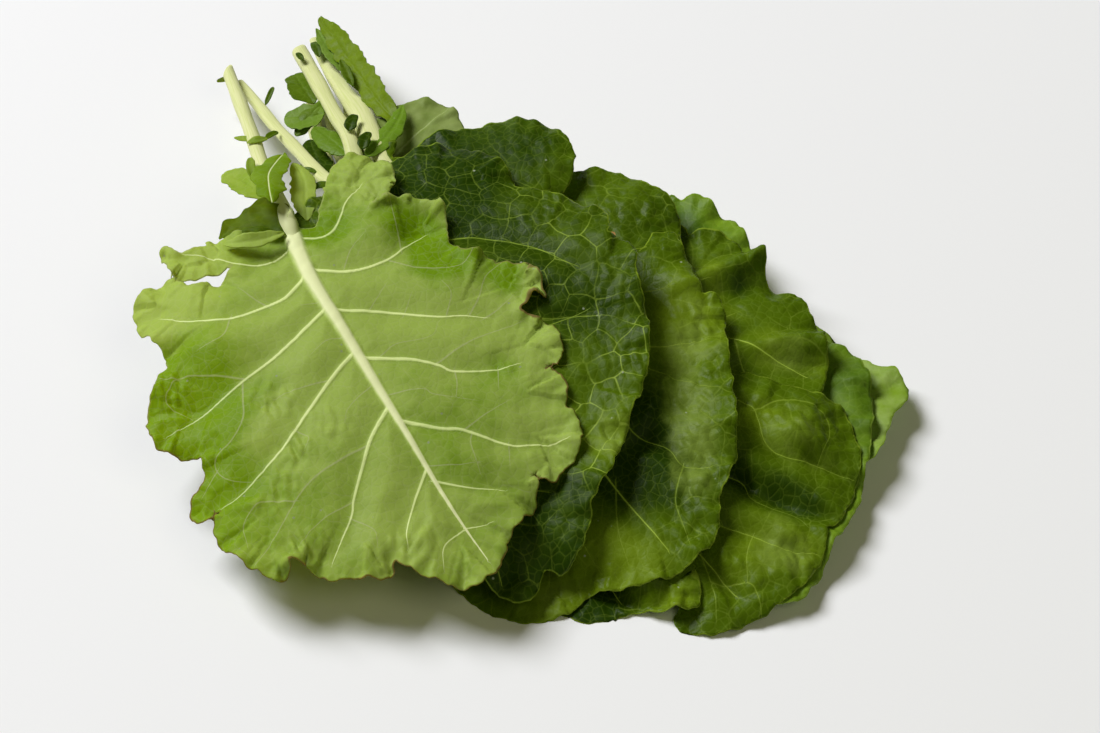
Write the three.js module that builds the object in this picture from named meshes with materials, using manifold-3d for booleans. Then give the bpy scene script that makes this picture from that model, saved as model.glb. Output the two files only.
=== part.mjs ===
// A bunch of collard greens lying on a table: twelve fresh leaves in a fan, each with its own stalk.
// Millimetres, +Z up. The table is the plane z = 0, and the stalks gather at the back left.
// Every leaf has its own flat frame: s runs along its midrib from the blade's base, w runs to its left.

import * as THREE from 'three';
import { mergeVertices } from 'three/addons/utils/BufferGeometryUtils.js';
import Module from 'manifold-3d';

const BLADE_THICKNESS = 0.9;
const LEAF_GAP = 0.8;
const CELL = 19;                 // spacing of the lattice that all the blades share
const FIELD_MIN = [-230, -170];  // the lattice covers the whole bunch
const FIELD_CELLS = [24, 25];
const EDGE_WALK = 0.5;           // step of the walk that finds the lattice cells under an outline
const RIDGE_REACH = CELL;        // how far from a midrib's side the lattice makes room for it
const SETTLE_ROUNDS = 14;        // rounds in which a lifted blade eases back to its own shape
const SETTLE_KEEP = 0.7;
const CUTTER_LOW = -20;          // the outline cutters stand from here to above every leaf
const CUTTER_HEIGHT = 140;
const STALK_SIDES = 7;
const STALK_STEP = 16;
const SPINE_STEP = 16;           // spacing of the points that lead the midrib along the blade
const ARC_STEP = 19;
const MIDRIB_SINK = 0.6;         // how far the midrib's middle lies off the blade, in its own radius
const MIDRIB_END = 0.86;         // the midrib's solid part ends here, as a share of the blade's length
const ORIGIN = [-14.2, 54.2];    // the middle of the bunch in plan

// heights: of the midrib at the base, middle and tip, and how far the left and right margins rise.
// bends: places where the blade bends up or down, as [s, w, reach, rise].
// outline: a chain of round lobes, as notch, crest, notch, crest and so on around the blade.
// stalk: from the cut end to the blade, [x, y, z]. radius: of the cut end and of the midrib's tip.
const LEAVES = [
  {
    name: 'leaf_12_outer_right',
    color: 0x6fa032,
    base: [-23, 65],
    heading: -21.5,
    length: 216,
    halfWidth: 60,
    heights: { base: 4, middle: -10, tip: 12, left: 4, right: 0 },
    bends: [[200, -10, 35, 4]],
    outline: [
      [0, 4], [30, 45], [90, 58], [140, 50], [178, 30], [190, 22], [204, 20], [215, 9], [215, -2],
      [213, -12], [213, -25], [212, -38], [200, -60], [160, -70], [110, -66], [50, -52], [0, -4], [-4, 0],
    ],
    stalk: [[-58, 92, 4.5], [-40, 80, 4.5]],
    radius: [4, 1.2],
  },
  {
    name: 'leaf_11_light_right',
    color: 0x6a9a38,
    base: [-33, 59],
    heading: -33,
    length: 221,
    halfWidth: 70,
    heights: { base: 8, middle: 7, tip: 13, left: 4, right: -6 },
    bends: [[205, 40, 35, 6]],
    outline: [
      [0, 4], [29, 51], [88, 75], [128, 80], [158, 70], [183, 64], [201, 47], [213, 25], [220, 6],
      [228, -18], [228, -40], [231, -54], [231, -66], [215, -85], [150, -85], [70, -60], [0, -4], [-4, 0],
    ],
    stalk: [[-72, 84, 11], [-52, 71, 10]],
    radius: [4, 1.2],
  },
  {
    name: 'leaf_10_light_back',
    color: 0x6c9a33,
    base: [-50, 112],
    heading: -21,
    length: 182,
    halfWidth: 50,
    heights: { base: 14, middle: 20, tip: 26, left: 7, right: 0 },
    bends: [[135, 40, 25, 3]],
    outline: [
      [0, 4], [30, 34], [70, 46], [92, 46], [112, 42], [121, 46], [132, 41], [148, 32], [165, 12],
      [170, -10], [150, -36], [90, -40], [40, -32], [0, -4], [-4, 0],
      [-3, 2],
    ],
    stalk: [[-72, 122, 12], [-60, 117, 13]],
    radius: [3.6, 1.2],
  },
  {
    name: 'leaf_09_pleated',
    color: 0x3f6a1c,
    base: [-66, 100],
    heading: -28,
    length: 233,
    halfWidth: 62,
    heights: { base: 18, middle: 33, tip: 33, left: 2, right: -4 },
    bends: [[165, 48, 20, 5]],
    outline: [
      [0, 4], [29, 44], [77, 61], [107, 64], [129, 56], [143, 62], [161, 54], [168, 57], [174, 50],
      [181, 43], [193, 46], [210, 33], [225, 15], [230, 2], [232, -10], [223, -31], [186, -55], [117, -60],
      [48, -47], [0, -4],
    ],
    stalk: [[-112, 213, 5], [-106, 170, 5], [-88, 124, 8]],
    radius: [4.4, 1.2],
  },
  {
    name: 'leaf_08_quilted',
    color: 0x3c671b,
    base: [-74, 74],
    heading: -51,
    length: 274,
    halfWidth: 90,
    heights: { base: 20, middle: 24, tip: 2, left: 2, right: -26 },
    bends: [[255, -25, 20, -6], [200, 60, 50, 6]],
    outline: [
      [0, 4], [35, 44], [104, 60], [145, 68], [167, 81], [188, 95], [211, 110], [237, 99], [251, 83],
      [259, 69], [260, 56], [272, 40], [276, 16], [270, -12], [258, -29], [250, -31], [245, -24],
      [220, -30], [186, -40], [103, -45], [35, -37], [0, -4],
    ],
    stalk: [[-134, 214, 5], [-122, 160, 5], [-98, 110, 12]],
    radius: [4.4, 1.2],
  },
  {
    name: 'leaf_07_curled_tip',
    color: 0x39631b,
    base: [-80, 66],
    heading: -59.5,
    length: 237,
    halfWidth: 60,
    heights: { base: 25, middle: 26, tip: 3, left: 4, right: -10 },
    bends: [[214, -26, 42, -20], [245, 28, 14, 4]],
    outline: [
      [0, 4], [35, 43], [103, 56], [173, 53], [218, 41], [237, 35], [248, 30], [245, 19], [232, 2],
      [230, -8], [226, -20], [212, -30], [190, -48], [110, -58], [38, -44], [0, -4],
    ],
    stalk: [[-97, 92, 26], [-89, 80, 27]],
    radius: [3.6, 1.2],
  },
  {
    name: 'leaf_06_behind_middle',
    color: 0x436b22,
    base: [-80, 104],
    heading: -48,
    length: 190,
    halfWidth: 80,
    heights: { base: 28, middle: 34, tip: 34, left: 0, right: -4 },
    bends: [[80, 95, 30, 3]],
    outline: [
      [0, 6], [18, 52], [42, 79], [56, 97], [78, 104], [98, 105], [115, 95], [128, 83], [135, 69],
      [162, 48], [184, 10], [182, -26], [133, -44], [85, -51], [36, -39], [2, -6],
    ],
    stalk: [[-123, 217, 5], [-112, 160, 7], [-94, 122, 22]],
    radius: [4.4, 1.2],
  },
  {
    name: 'leaf_05_grey_back',
    color: 0x64804f,
    base: [-98, 122],
    heading: 48,
    length: 72,
    halfWidth: 28,
    heights: { base: 30, middle: 33, tip: 36, left: 2, right: 2 },
    bends: [[45, 0, 30, 2]],
    outline: [
      [0, 3], [12, 20], [28, 25], [48, 23], [61, 16], [67, 1], [60, -16], [44, -23], [24, -24], [8, -16],
    ],
    stalk: [[-118, 92, 33], [-108, 108, 32]],
    radius: [3, 1],
  },
  {
    name: 'leaf_04_middle',
    color: 0x3a6220,
    base: [-96, 97],
    heading: -53.5,
    length: 272,
    halfWidth: 95,
    heights: { base: 38, middle: 36, tip: 16, left: -2, right: -12 },
    bends: [[238, -78, 50, -34], [120, 95, 22, 5]],
    outline: [
      [0, 6], [27, 44], [64, 69], [87, 86], [111, 97], [104, 111], [117, 115], [135, 109], [152, 103],
      [161, 108], [179, 96], [204, 80], [233, 60], [243, 49], [250, 35], [266, 20], [268, -2], [259, -23],
      [246, -39], [246, -60], [234, -77], [215, -86], [187, -88], [127, -90], [78, -75], [39, -49], [2, -6],
      [-2, 0],
    ],
    stalk: [[-141, 230, 22], [-130, 196, 27], [-110, 140, 40]],
    radius: [5, 1.4],
  },
  {
    name: 'leaf_03_upper_back',
    color: 0x3c6a17,
    base: [-86, 124],
    heading: -54,
    length: 178,
    halfWidth: 80,
    heights: { base: 44, middle: 47, tip: 46, left: 1, right: 0 },
    bends: [[40, 75, 30, 3]],
    outline: [
      [0, 3], [-14, 8], [-24, 24], [-40, 33], [-58, 35], [-80, 39], [-100, 39], [-116, 43], [-130, 41],
      [-134, 36], [-128, 31], [-70, 17], [-10, -3], [-2, -5], [4, -6], [30, -45], [90, -60], [150, -45],
      [178, -10], [180, 25], [150, 50], [110, 62], [70, 52], [73, 60], [68, 71], [54, 83], [38, 87],
      [16, 76], [5, 52], [-3, 30], [2, 12], [1, 8],
    ],
    stalk: [[-132, 243, 24], [-113, 193, 33], [-95, 148, 46]],
    radius: [5, 1.4],
  },
  {
    name: 'leaf_02_dark_front',
    color: 0x39651a,
    base: [-108, 104],
    heading: -69.5,
    length: 258,
    halfWidth: 95,
    heights: { base: 50, middle: 46, tip: 10, left: 2, right: -18 },
    bends: [[100, 105, 40, 5], [250, 20, 30, -3]],
    outline: [
      [0, 8], [-6, 20], [-8, 38], [-8, 48], [-7, 58], [1, 68], [9, 77], [24, 83], [39, 82], [52, 97],
      [62, 107], [76, 116], [93, 112], [104, 121], [121, 116], [162, 107], [193, 85], [212, 70], [228, 51],
      [243, 42], [249, 27], [246, 24], [244, 21], [256, 8], [248, -3], [238, -9], [232, -18], [227, -33],
      [213, -44], [172, -79], [110, -86], [60, -78], [34, -66], [20, -46], [12, -24], [2, -8],
    ],
    stalk: [[-170, 208, 16], [-145, 162, 29], [-120, 122, 44]],
    radius: [5, 1.4],
  },
  {
    name: 'leaf_01_pale_top',
    color: 0x8caf55,
    underside: true,
    base: [-134, 76],
    heading: -64.5,
    length: 233,
    halfWidth: 100,
    heights: { base: 55, middle: 51, tip: 24, left: -4, right: -18 },
    bends: [[50, 66, 25, 7], [95, 95, 20, 4], [0, 50, 25, 4]],
    outline: [
      [5, 2], [13, 5], [11, 12], [0, 19], [-10, 24], [-18, 31], [-21, 35], [-24, 43], [-18, 54], [2, 59],
      [13, 50], [16, 44], [18, 40], [19, 57], [31, 72], [43, 70], [51, 67], [64, 69], [69, 77], [74, 80],
      [78, 81], [88, 95], [109, 95], [105, 89], [109, 81], [127, 92], [145, 84], [144, 82], [143, 80],
      [156, 83], [166, 78], [186, 77], [200, 56], [198, 51], [194, 48], [202, 46], [213, 33], [216, 27],
      [221, 20], [234, 5], [228, -14], [220, -22], [208, -31], [212, -40], [199, -63], [191, -70],
      [187, -76], [192, -82], [182, -91], [169, -99], [156, -101], [149, -100], [144, -96], [146, -103],
      [139, -107], [132, -105], [126, -97], [121, -93], [114, -92], [92, -110], [62, -93], [57, -88],
      [45, -87], [35, -90], [32, -93], [13, -89], [8, -77], [8, -71], [9, -65], [19, -61], [22, -53],
      [26, -48], [19, -38], [20, -46], [15, -60], [7, -66], [-2, -67], [-9, -67], [-10, -62], [-2, -56],
      [0, -44], [-3, -42], [0, -35], [2, -19], [10, -8], [1, 1],
    ],
    stalk: [[-179, 223, 21], [-167, 187, 32], [-152, 134, 50]],
    radius: [5.5, 1.5],
  },
];

const wasm = await Module();
wasm.setup();

function solid(geometry) {
  const bare = geometry.index ? geometry.clone() : geometry;
  bare.deleteAttribute('normal');
  bare.deleteAttribute('uv');
  const merged = mergeVertices(bare, 1e-4);
  return new wasm.Manifold(new wasm.Mesh({
    numProp: 3,
    vertProperties: new Float32Array(merged.attributes.position.array),
    triVerts: new Uint32Array(merged.index.array),
  }));
}

function geometryOf(body) {
  const mesh = body.getMesh();
  const geometry = new THREE.BufferGeometry();
  geometry.setAttribute('position', new THREE.BufferAttribute(mesh.vertProperties, 3));
  geometry.setIndex(new THREE.BufferAttribute(mesh.triVerts, 1));
  geometry.computeVertexNormals();
  return geometry;
}

// The leaf's own frame to the bunch's plan, and back.
function toPlan(leaf, s, w) {
  const turn = THREE.MathUtils.degToRad(leaf.heading);
  const along = [Math.cos(turn), Math.sin(turn)];
  return new THREE.Vector2(
    leaf.base[0] + s * along[0] - w * along[1],
    leaf.base[1] + s * along[1] + w * along[0],
  );
}

function toLeaf(leaf, x, y) {
  const turn = THREE.MathUtils.degToRad(leaf.heading);
  const dx = x - leaf.base[0];
  const dy = y - leaf.base[1];
  return [dx * Math.cos(turn) + dy * Math.sin(turn), dy * Math.cos(turn) - dx * Math.sin(turn)];
}

// One round lobe: the curve from notch a over crest b to notch c.
function lobe(a, b, c) {
  const reach = Math.hypot(b[0] - a[0], b[1] - a[1]) + Math.hypot(c[0] - b[0], c[1] - b[1]);
  const steps = Math.max(2, Math.round(reach / ARC_STEP));
  const pull = [2 * b[0] - (a[0] + c[0]) / 2, 2 * b[1] - (a[1] + c[1]) / 2];
  const points = [];
  for (let i = 0; i < steps; i += 1) {
    const t = i / steps;
    const u = 1 - t;
    points.push([
      u * u * a[0] + 2 * u * t * pull[0] + t * t * c[0],
      u * u * a[1] + 2 * u * t * pull[1] + t * t * c[1],
    ]);
  }
  return points;
}

function planOutline(leaf) {
  const chain = leaf.outline;
  const points = [];
  for (let i = 0; i < chain.length; i += 2) {
    points.push(...lobe(chain[i], chain[i + 1], chain[(i + 2) % chain.length]));
  }
  return points.map(([s, w]) => toPlan(leaf, s, w));
}

// The blade's own shape: a bend along the midrib and a bend across it.
function ownHeight(leaf, x, y) {
  const [s, w] = toLeaf(leaf, x, y);
  const t = THREE.MathUtils.clamp(s / leaf.length, -0.5, 1.15);
  const { base, middle, tip, left, right } = leaf.heights;
  const spine = base * (1 - t) * (1 - 2 * t) + middle * 4 * t * (1 - t) + tip * t * (2 * t - 1);
  const along = t < 0 ? base : spine;
  const side = Math.min(1.3, Math.abs(w) / leaf.halfWidth);
  const bent = leaf.bends.reduce((sum, [bs, bw, reach, rise]) => (
    sum + rise * Math.exp(-((s - bs) ** 2 + (w - bw) ** 2) / reach ** 2)), 0);
  return along + (w > 0 ? left : right) * side * side + bent;
}

const COLUMNS = FIELD_CELLS[0] + 1;
const ROWS = FIELD_CELLS[1] + 1;

function latticePoint(index) {
  const column = index % COLUMNS;
  const row = Math.floor(index / COLUMNS);
  return [FIELD_MIN[0] + column * CELL, FIELD_MIN[1] + row * CELL];
}

// The nearest point of a path in plan: how far off it is, and how far along the path it lies.
function distanceToPath(path, x, y) {
  let best = { distance: Infinity };
  let passed = 0;
  for (let i = 0; i + 1 < path.length; i += 1) {
    const a = path[i];
    const b = path[i + 1];
    const run = Math.hypot(b.x - a.x, b.y - a.y);
    const ahead = ((x - a.x) * (b.x - a.x) + (y - a.y) * (b.y - a.y)) / run;
    const share = THREE.MathUtils.clamp(ahead / run, 0, 1);
    const point = new THREE.Vector3().lerpVectors(a, b, share);
    const distance = Math.hypot(point.x - x, point.y - y);
    if (distance < best.distance) best = { distance, point, along: passed + share * run };
    passed += run;
  }
  return { ...best, share: best.along / passed };
}

function insideOutline(outline, x, y) {
  let inside = false;
  for (let i = 0, j = outline.length - 1; i < outline.length; j = i, i += 1) {
    const a = outline[i];
    const b = outline[j];
    if ((a.y > y) !== (b.y > y) && x < ((b.x - a.x) * (y - a.y)) / (b.y - a.y) + a.x) inside = !inside;
  }
  return inside;
}

// The lattice points whose triangles reach into the outline.
function latticeUnder(outline) {
  const near = new Uint8Array(COLUMNS * ROWS);
  for (let i = 0; i < near.length; i += 1) {
    const [x, y] = latticePoint(i);
    near[i] = insideOutline(outline, x, y) ? 1 : 0;
  }
  outline.forEach((a, k) => {
    const b = outline[(k + 1) % outline.length];
    const steps = Math.ceil(a.distanceTo(b) / EDGE_WALK);
    for (let i = 0; i < steps; i += 1) {
      const point = new THREE.Vector2().lerpVectors(a, b, i / steps);
      const u = (point.x - FIELD_MIN[0]) / CELL;
      const v = (point.y - FIELD_MIN[1]) / CELL;
      const corner = Math.floor(v) * COLUMNS + Math.floor(u);
      near[corner] = 1;
      near[corner + COLUMNS + 1] = 1;
      near[u % 1 > v % 1 ? corner + 1 : corner + COLUMNS] = 1;
    }
  });
  return near;
}

// A correction is kept where it is needed and fades out smoothly around that place.
function settle(need) {
  let lift = need.slice();
  for (let round = 0; round < SETTLE_ROUNDS; round += 1) {
    const next = lift.slice();
    for (let row = 1; row + 1 < ROWS; row += 1) {
      for (let column = 1; column + 1 < COLUMNS; column += 1) {
        const i = row * COLUMNS + column;
        const around = (lift[i - 1] + lift[i + 1] + lift[i - COLUMNS] + lift[i + COLUMNS]) / 4;
        next[i] = Math.max(need[i], around * SETTLE_KEEP);
      }
    }
    lift = next;
  }
  return lift;
}

// The stack: each blade lies on its own shape or, where others are in the way, over them.
const covered = new Float64Array(COLUMNS * ROWS).fill(0);

function bladeHeights(leaf, outline, spinePath) {
  const own = new Float64Array(covered.length);
  const need = new Float64Array(covered.length);
  leaf.near = latticeUnder(outline);
  for (let i = 0; i < covered.length; i += 1) {
    const [x, y] = latticePoint(i);
    own[i] = ownHeight(leaf, x, y);
    if (!leaf.near[i]) continue;
    const ridge = distanceToPath(spinePath, x, y);
    const depth = leaf.underside || ridge.distance > leaf.radius[0] + RIDGE_REACH
      ? 0
      : (1 + MIDRIB_SINK) * radiusAt(leaf, ridge.share) + LEAF_GAP;
    const floor = covered[i] + (covered[i] > 0 ? LEAF_GAP : 0) + depth;
    need[i] = Math.max(0, floor - own[i]);
  }
  const lift = settle(need);
  return own.map((height, i) => height + lift[i]);
}

function heightAt(heights, x, y) {
  const u = (x - FIELD_MIN[0]) / CELL;
  const v = (y - FIELD_MIN[1]) / CELL;
  const column = Math.floor(u);
  const row = Math.floor(v);
  const i = row * COLUMNS + column;
  const fu = u - column;
  const fv = v - row;
  const corners = [heights[i], heights[i + 1], heights[i + COLUMNS], heights[i + COLUMNS + 1]];
  return fu > fv
    ? corners[0] + fu * (corners[1] - corners[0]) + fv * (corners[3] - corners[1])
    : corners[0] + fv * (corners[2] - corners[0]) + fu * (corners[3] - corners[2]);
}

// A closed slab over the whole lattice, cut to the outline afterwards.
function slab(heights, outline) {
  const xs = outline.map((p) => p.x);
  const ys = outline.map((p) => p.y);
  const first = [
    Math.floor((Math.min(...xs) - FIELD_MIN[0]) / CELL),
    Math.floor((Math.min(...ys) - FIELD_MIN[1]) / CELL),
  ];
  const last = [
    Math.ceil((Math.max(...xs) - FIELD_MIN[0]) / CELL),
    Math.ceil((Math.max(...ys) - FIELD_MIN[1]) / CELL),
  ];
  const nx = last[0] - first[0];
  const ny = last[1] - first[1];
  const grid = new THREE.PlaneGeometry(nx * CELL, ny * CELL, nx, ny);
  grid.translate(
    FIELD_MIN[0] + (first[0] + last[0]) * CELL / 2,
    FIELD_MIN[1] + (first[1] + last[1]) * CELL / 2,
    0,
  );
  const flat = grid.attributes.position;
  const count = flat.count;
  const positions = new Float32Array(count * 6);
  for (let i = 0; i < count; i += 1) {
    const x = flat.getX(i);
    const y = flat.getY(i);
    const column = Math.round((x - FIELD_MIN[0]) / CELL);
    const row = Math.round((y - FIELD_MIN[1]) / CELL);
    const z = heights[row * COLUMNS + column];
    positions.set([x, y, z + BLADE_THICKNESS], i * 3);
    positions.set([x, y, z], (count + i) * 3);
  }
  const faces = [];
  for (let i = 0; i < grid.index.count; i += 3) {
    const [a, b, c] = [0, 1, 2].map((k) => grid.index.getX(i + k));
    faces.push(a, b, c, count + a, count + c, count + b);
  }
  const rim = [];
  for (let i = 0; i < nx; i += 1) rim.push(i);
  for (let j = 0; j < ny; j += 1) rim.push(j * (nx + 1) + nx);
  for (let i = nx; i > 0; i -= 1) rim.push(ny * (nx + 1) + i);
  for (let j = ny; j > 0; j -= 1) rim.push(j * (nx + 1));
  rim.forEach((a, k) => {
    const b = rim[(k + 1) % rim.length];
    faces.push(a, b, count + b, a, count + b, count + a);
  });
  const geometry = new THREE.BufferGeometry();
  geometry.setAttribute('position', new THREE.BufferAttribute(positions, 3));
  geometry.setIndex(faces);
  return solid(geometry);
}

function prism(outline) {
  const shape = new THREE.Shape(outline);
  const column = new THREE.ExtrudeGeometry(shape, { depth: CUTTER_HEIGHT, bevelEnabled: false });
  return solid(column.translate(0, 0, CUTTER_LOW));
}

// A round stalk that runs on as the midrib, and narrows from the cut end to the midrib's tip.
function stalk(leaf, path) {
  const curve = new THREE.CatmullRomCurve3(path, false, 'centripetal');
  const steps = Math.max(4, Math.round(curve.getLength() / STALK_STEP));
  const section = new THREE.Shape(new THREE.EllipseCurve(0, 0, 1, 1, 0, 2 * Math.PI).getPoints(STALK_SIDES));
  const geometry = new THREE.ExtrudeGeometry(section, { steps, extrudePath: curve, bevelEnabled: false });
  const rings = curve.getSpacedPoints(steps);
  const position = geometry.attributes.position;
  const vertex = new THREE.Vector3();
  for (let i = 0; i < position.count; i += 1) {
    vertex.fromBufferAttribute(position, i);
    const distances = rings.map((ring) => ring.distanceToSquared(vertex));
    const ring = distances.indexOf(Math.min(...distances));
    vertex.sub(rings[ring]).multiplyScalar(radiusAt(leaf, ring / steps));
    vertex.add(rings[ring]);
    position.setXYZ(i, vertex.x, vertex.y, vertex.z);
  }
  return solid(geometry);
}

function radiusAt(leaf, share) {
  return THREE.MathUtils.lerp(leaf.radius[0], leaf.radius[1], share);
}

function spine(leaf, heights, flatSpine) {
  const points = leaf.stalk.map(([x, y, z]) => new THREE.Vector3(x, y, z));
  const steps = Math.round((leaf.length * MIDRIB_END) / SPINE_STEP);
  for (let i = 0; i <= steps; i += 1) {
    const plan = toPlan(leaf, (i / steps) * leaf.length * MIDRIB_END, 0);
    const radius = radiusAt(leaf, distanceToPath(flatSpine, plan.x, plan.y).share);
    const sink = (leaf.underside ? MIDRIB_SINK : -MIDRIB_SINK) * radius;
    const height = Math.max(radius, heightAt(heights, plan.x, plan.y) + sink);
    points.push(new THREE.Vector3(plan.x, plan.y, height));
  }
  return points;
}

function leafMesh(leaf) {
  const outline = planOutline(leaf);
  const flatSpine = leaf.stalk.map(([x, y]) => new THREE.Vector3(x, y, 0));
  const tip = toPlan(leaf, leaf.length * MIDRIB_END, 0);
  flatSpine.push(new THREE.Vector3(leaf.base[0], leaf.base[1], 0), new THREE.Vector3(tip.x, tip.y, 0));
  const heights = bladeHeights(leaf, outline, flatSpine);
  const path = spine(leaf, heights, flatSpine);
  const body = slab(heights, outline).intersect(prism(outline)).add(stalk(leaf, path));
  for (let i = 0; i < covered.length; i += 1) {
    if (leaf.near[i]) covered[i] = Math.max(covered[i], heights[i] + BLADE_THICKNESS);
    const [x, y] = latticePoint(i);
    const ridge = distanceToPath(path, x, y);
    if (ridge.distance > leaf.radius[0] + RIDGE_REACH) continue;
    covered[i] = Math.max(covered[i], ridge.point.z + radiusAt(leaf, ridge.share));
  }
  const material = new THREE.MeshStandardMaterial({ color: leaf.color, roughness: 0.5, metalness: 0 });
  const mesh = new THREE.Mesh(geometryOf(body), material);
  mesh.name = leaf.name;
  return mesh;
}

const bunch = new THREE.Group();
LEAVES.forEach((leaf) => bunch.add(leafMesh(leaf)));
bunch.position.set(-ORIGIN[0], -ORIGIN[1], 0);

export default bunch;
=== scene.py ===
"""A bunch of collard greens on a pale table: twelve leaves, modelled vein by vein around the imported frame.

Lengths in the tables are millimetres. Each leaf has its own flat frame: s runs along its midrib
from the blade's base, w runs to its left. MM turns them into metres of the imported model.
"""
import math

import bpy
import numpy as np
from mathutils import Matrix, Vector
from mathutils.kdtree import KDTree


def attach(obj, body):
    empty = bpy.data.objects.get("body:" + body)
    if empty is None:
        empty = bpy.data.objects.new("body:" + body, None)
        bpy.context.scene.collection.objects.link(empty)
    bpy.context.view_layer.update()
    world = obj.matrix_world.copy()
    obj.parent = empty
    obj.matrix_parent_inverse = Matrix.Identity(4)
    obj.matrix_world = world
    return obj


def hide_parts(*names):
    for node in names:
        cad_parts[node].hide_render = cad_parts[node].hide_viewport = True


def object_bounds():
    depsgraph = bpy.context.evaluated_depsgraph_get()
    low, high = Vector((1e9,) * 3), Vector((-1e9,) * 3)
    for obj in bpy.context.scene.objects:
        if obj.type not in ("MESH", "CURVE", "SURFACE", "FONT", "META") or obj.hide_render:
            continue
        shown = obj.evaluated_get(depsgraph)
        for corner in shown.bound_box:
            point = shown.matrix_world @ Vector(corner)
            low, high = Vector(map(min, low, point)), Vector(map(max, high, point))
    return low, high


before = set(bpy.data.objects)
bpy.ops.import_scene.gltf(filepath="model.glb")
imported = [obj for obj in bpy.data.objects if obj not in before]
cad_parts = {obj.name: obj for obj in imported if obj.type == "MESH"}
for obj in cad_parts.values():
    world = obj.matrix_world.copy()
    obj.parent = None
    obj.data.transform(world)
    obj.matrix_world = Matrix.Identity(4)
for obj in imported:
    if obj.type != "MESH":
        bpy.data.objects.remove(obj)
CAD_LOW, CAD_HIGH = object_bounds()

BUNCH_WIDTH = 389.1  # the bunch's width in the tables below
MM = (CAD_HIGH.x - CAD_LOW.x) / BUNCH_WIDTH
MIDDLE = np.array([-14.2, 54.2])  # the tables' point that is the frame's origin
DETAIL = 1.0  # a coarser mesh while trying things

BLADE_THICKNESS = 0.5
LEAFLET_SPACING = 0.7
LATTICE_SNAP = 0.45  # points this near to the margin, in spacings, move onto it
SLIVER = 0.02  # faces with a smaller area, in square spacings, are left out
TABLE_GAP = 0.1  # nothing comes nearer to the table than this
FAR = 60.0  # stands for "no vein or border near here"

OUTLINE_STEP = 0.5
TOOTH_WAVES = ((23, 0.8), (13, 0.7), (7.5, 0.55), (4.2, 0.3))  # length and share of each wave of the teeth
RUFFLE_WAVES = ((1.0, 1.0), (0.6, 0.57), (0.35, 0.29))  # share of the height and of the length of each wave
NOISE_CELLS = 96
ROLL_PITCH, CRINKLE_PITCH, GRAIN_PITCH = 34.0, 7.5, 3.8  # the sizes of the unevenness of a blade
CRUMPLE_PITCH = 5.0
SWELL_PITCH = 26.0  # the size of the places where cells bulge more or less
PUFF_FADE, RUFFLE_FADE, ROUGH_FADE = 14, 11.0, 13.0  # how far from the margin these fade
SEED_STEP = 50  # between the seeds of the noises of two leaves
FRESH_LEVEL = 0.4

VEIN_STEP = 1.0
VEIN_GROUPS = 4  # 0 is the midrib's, close neighbours have different ones
VEIN_NEAR = 1.6  # past this and 1.5 half-widths the distances grow steeply
UPPER_RIB = 0.45  # the midrib's half-width on an upper side, as a share of the leaf's radius
RIB_TIP = 0.45
GROWN_EVERY = 40  # a grown side vein for so much of the blade's length, on each side
GROWN_STRIDE = 7.0
GROWN_CLEAR = 22  # grown veins end this far from the margin
GROWN_WIDE, GROWN_NARROW = 0.36, 0.25
NET_TRIES = 2600  # random places tried as seeds of the net's cells
NET_BEYOND = 8  # seeds lie up to this far outside the margin

STALK_SIDES = 24
STALK_GROOVE = 0.25  # how much the upper side of a stalk is flattened
STALK_STREAKS = (260, 3)  # how far a stalk's streaks are laid out along it and around it
CUT_SLANT_REACH = 16  # a slanted cut fades out over this length of stalk

LEAF_GAP = 1.0
RIB_ROOM = 1.2  # how deep the ribs below a blade reach, in their half-widths
LIFT_BEYOND = 3  # a blade is lifted clear of what lies up to this far outside its margin
RASTER = 2.0  # the cell of the height map of what lies below
RASTER_LOW = np.array([-240.0, -185.0])
RASTER_SIZE = (228, 232)
RASTER_X = RASTER_LOW[0] + RASTER * np.arange(RASTER_SIZE[0])
RASTER_Y = RASTER_LOW[1] + RASTER * np.arange(RASTER_SIZE[1])
SETTLE_ROUNDS = 40
SETTLE_KEEP = 0.985
SETTLE_BLUR = 4

# The leaves. LEAVES has them from the lowest to the top one.
# base, heading: where the blade starts in plan, and where its midrib points, in degrees.
# heights: the midrib at the base, middle and tip; how far the left and right margins rise at half_width.
# outline: a chain of round lobes, as notch, crest, notch, crest and so on around the blade.
# stalk: [x, y, z, radius] from the cut end to the blade, where radius is the leaf's own radius.
# ruffle: the height and the length of the margin's waves. puff: how far the blade bulges between veins.
# The lists of bends, crumples, wax, green tone and scars hold round patches, [s, w, reach, amount]; the wax
# and tone patches also paint sheen, shade and lit parts.
ANY_LEAF = dict(  # what a leaf has where its own table says nothing
    underside=False,  # whether the blade's underside is on top
    bends=[], crumples=[],  # smooth and rough patches of the blade's height
    folds=[],  # [s0, w0, s1, w1, reach, rise], a crease along a line
    brims=[],  # [s, w, spread, reach inwards, rise] of a raised margin
    curls=[],  # [s, w, spread, reach inwards, radius] of a rolled margin
    slant=(0, 0),  # how the stalk's cut leans to the east and to the north
    teeth=0.35,  # the size of the margin's teeth
    puff_reach=9.0,  # how far from a vein the puff is nearly full
    swell=0.5, cell=17.0,  # the bulge of the cells of the net, and their size
    roll=1.5, crinkle=0.9, grain=0.36,  # wide, small and finest unevenness of the blade
    netting=0.5,  # how clearly the net of small veins shows
    wax=0.3, bloom=[],  # the whitish wax: its level, and patches of wax that also paint sheen, and paint shade where they take from it
    fresh=[], scars=[],  # patches that make the green fresher where they add and deeper where they take, also painting lit parts and shade, and brown scars
    rust=(900, 901),  # the margin turns red-brown between these two s
    midrib=[],  # its path; an even one is grown where none is given
    veins=[],  # (group, half-widths at both ends, path), or grown
    leaflets=[],  # small blades beside the stalk, see add_leaflet
)
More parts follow.
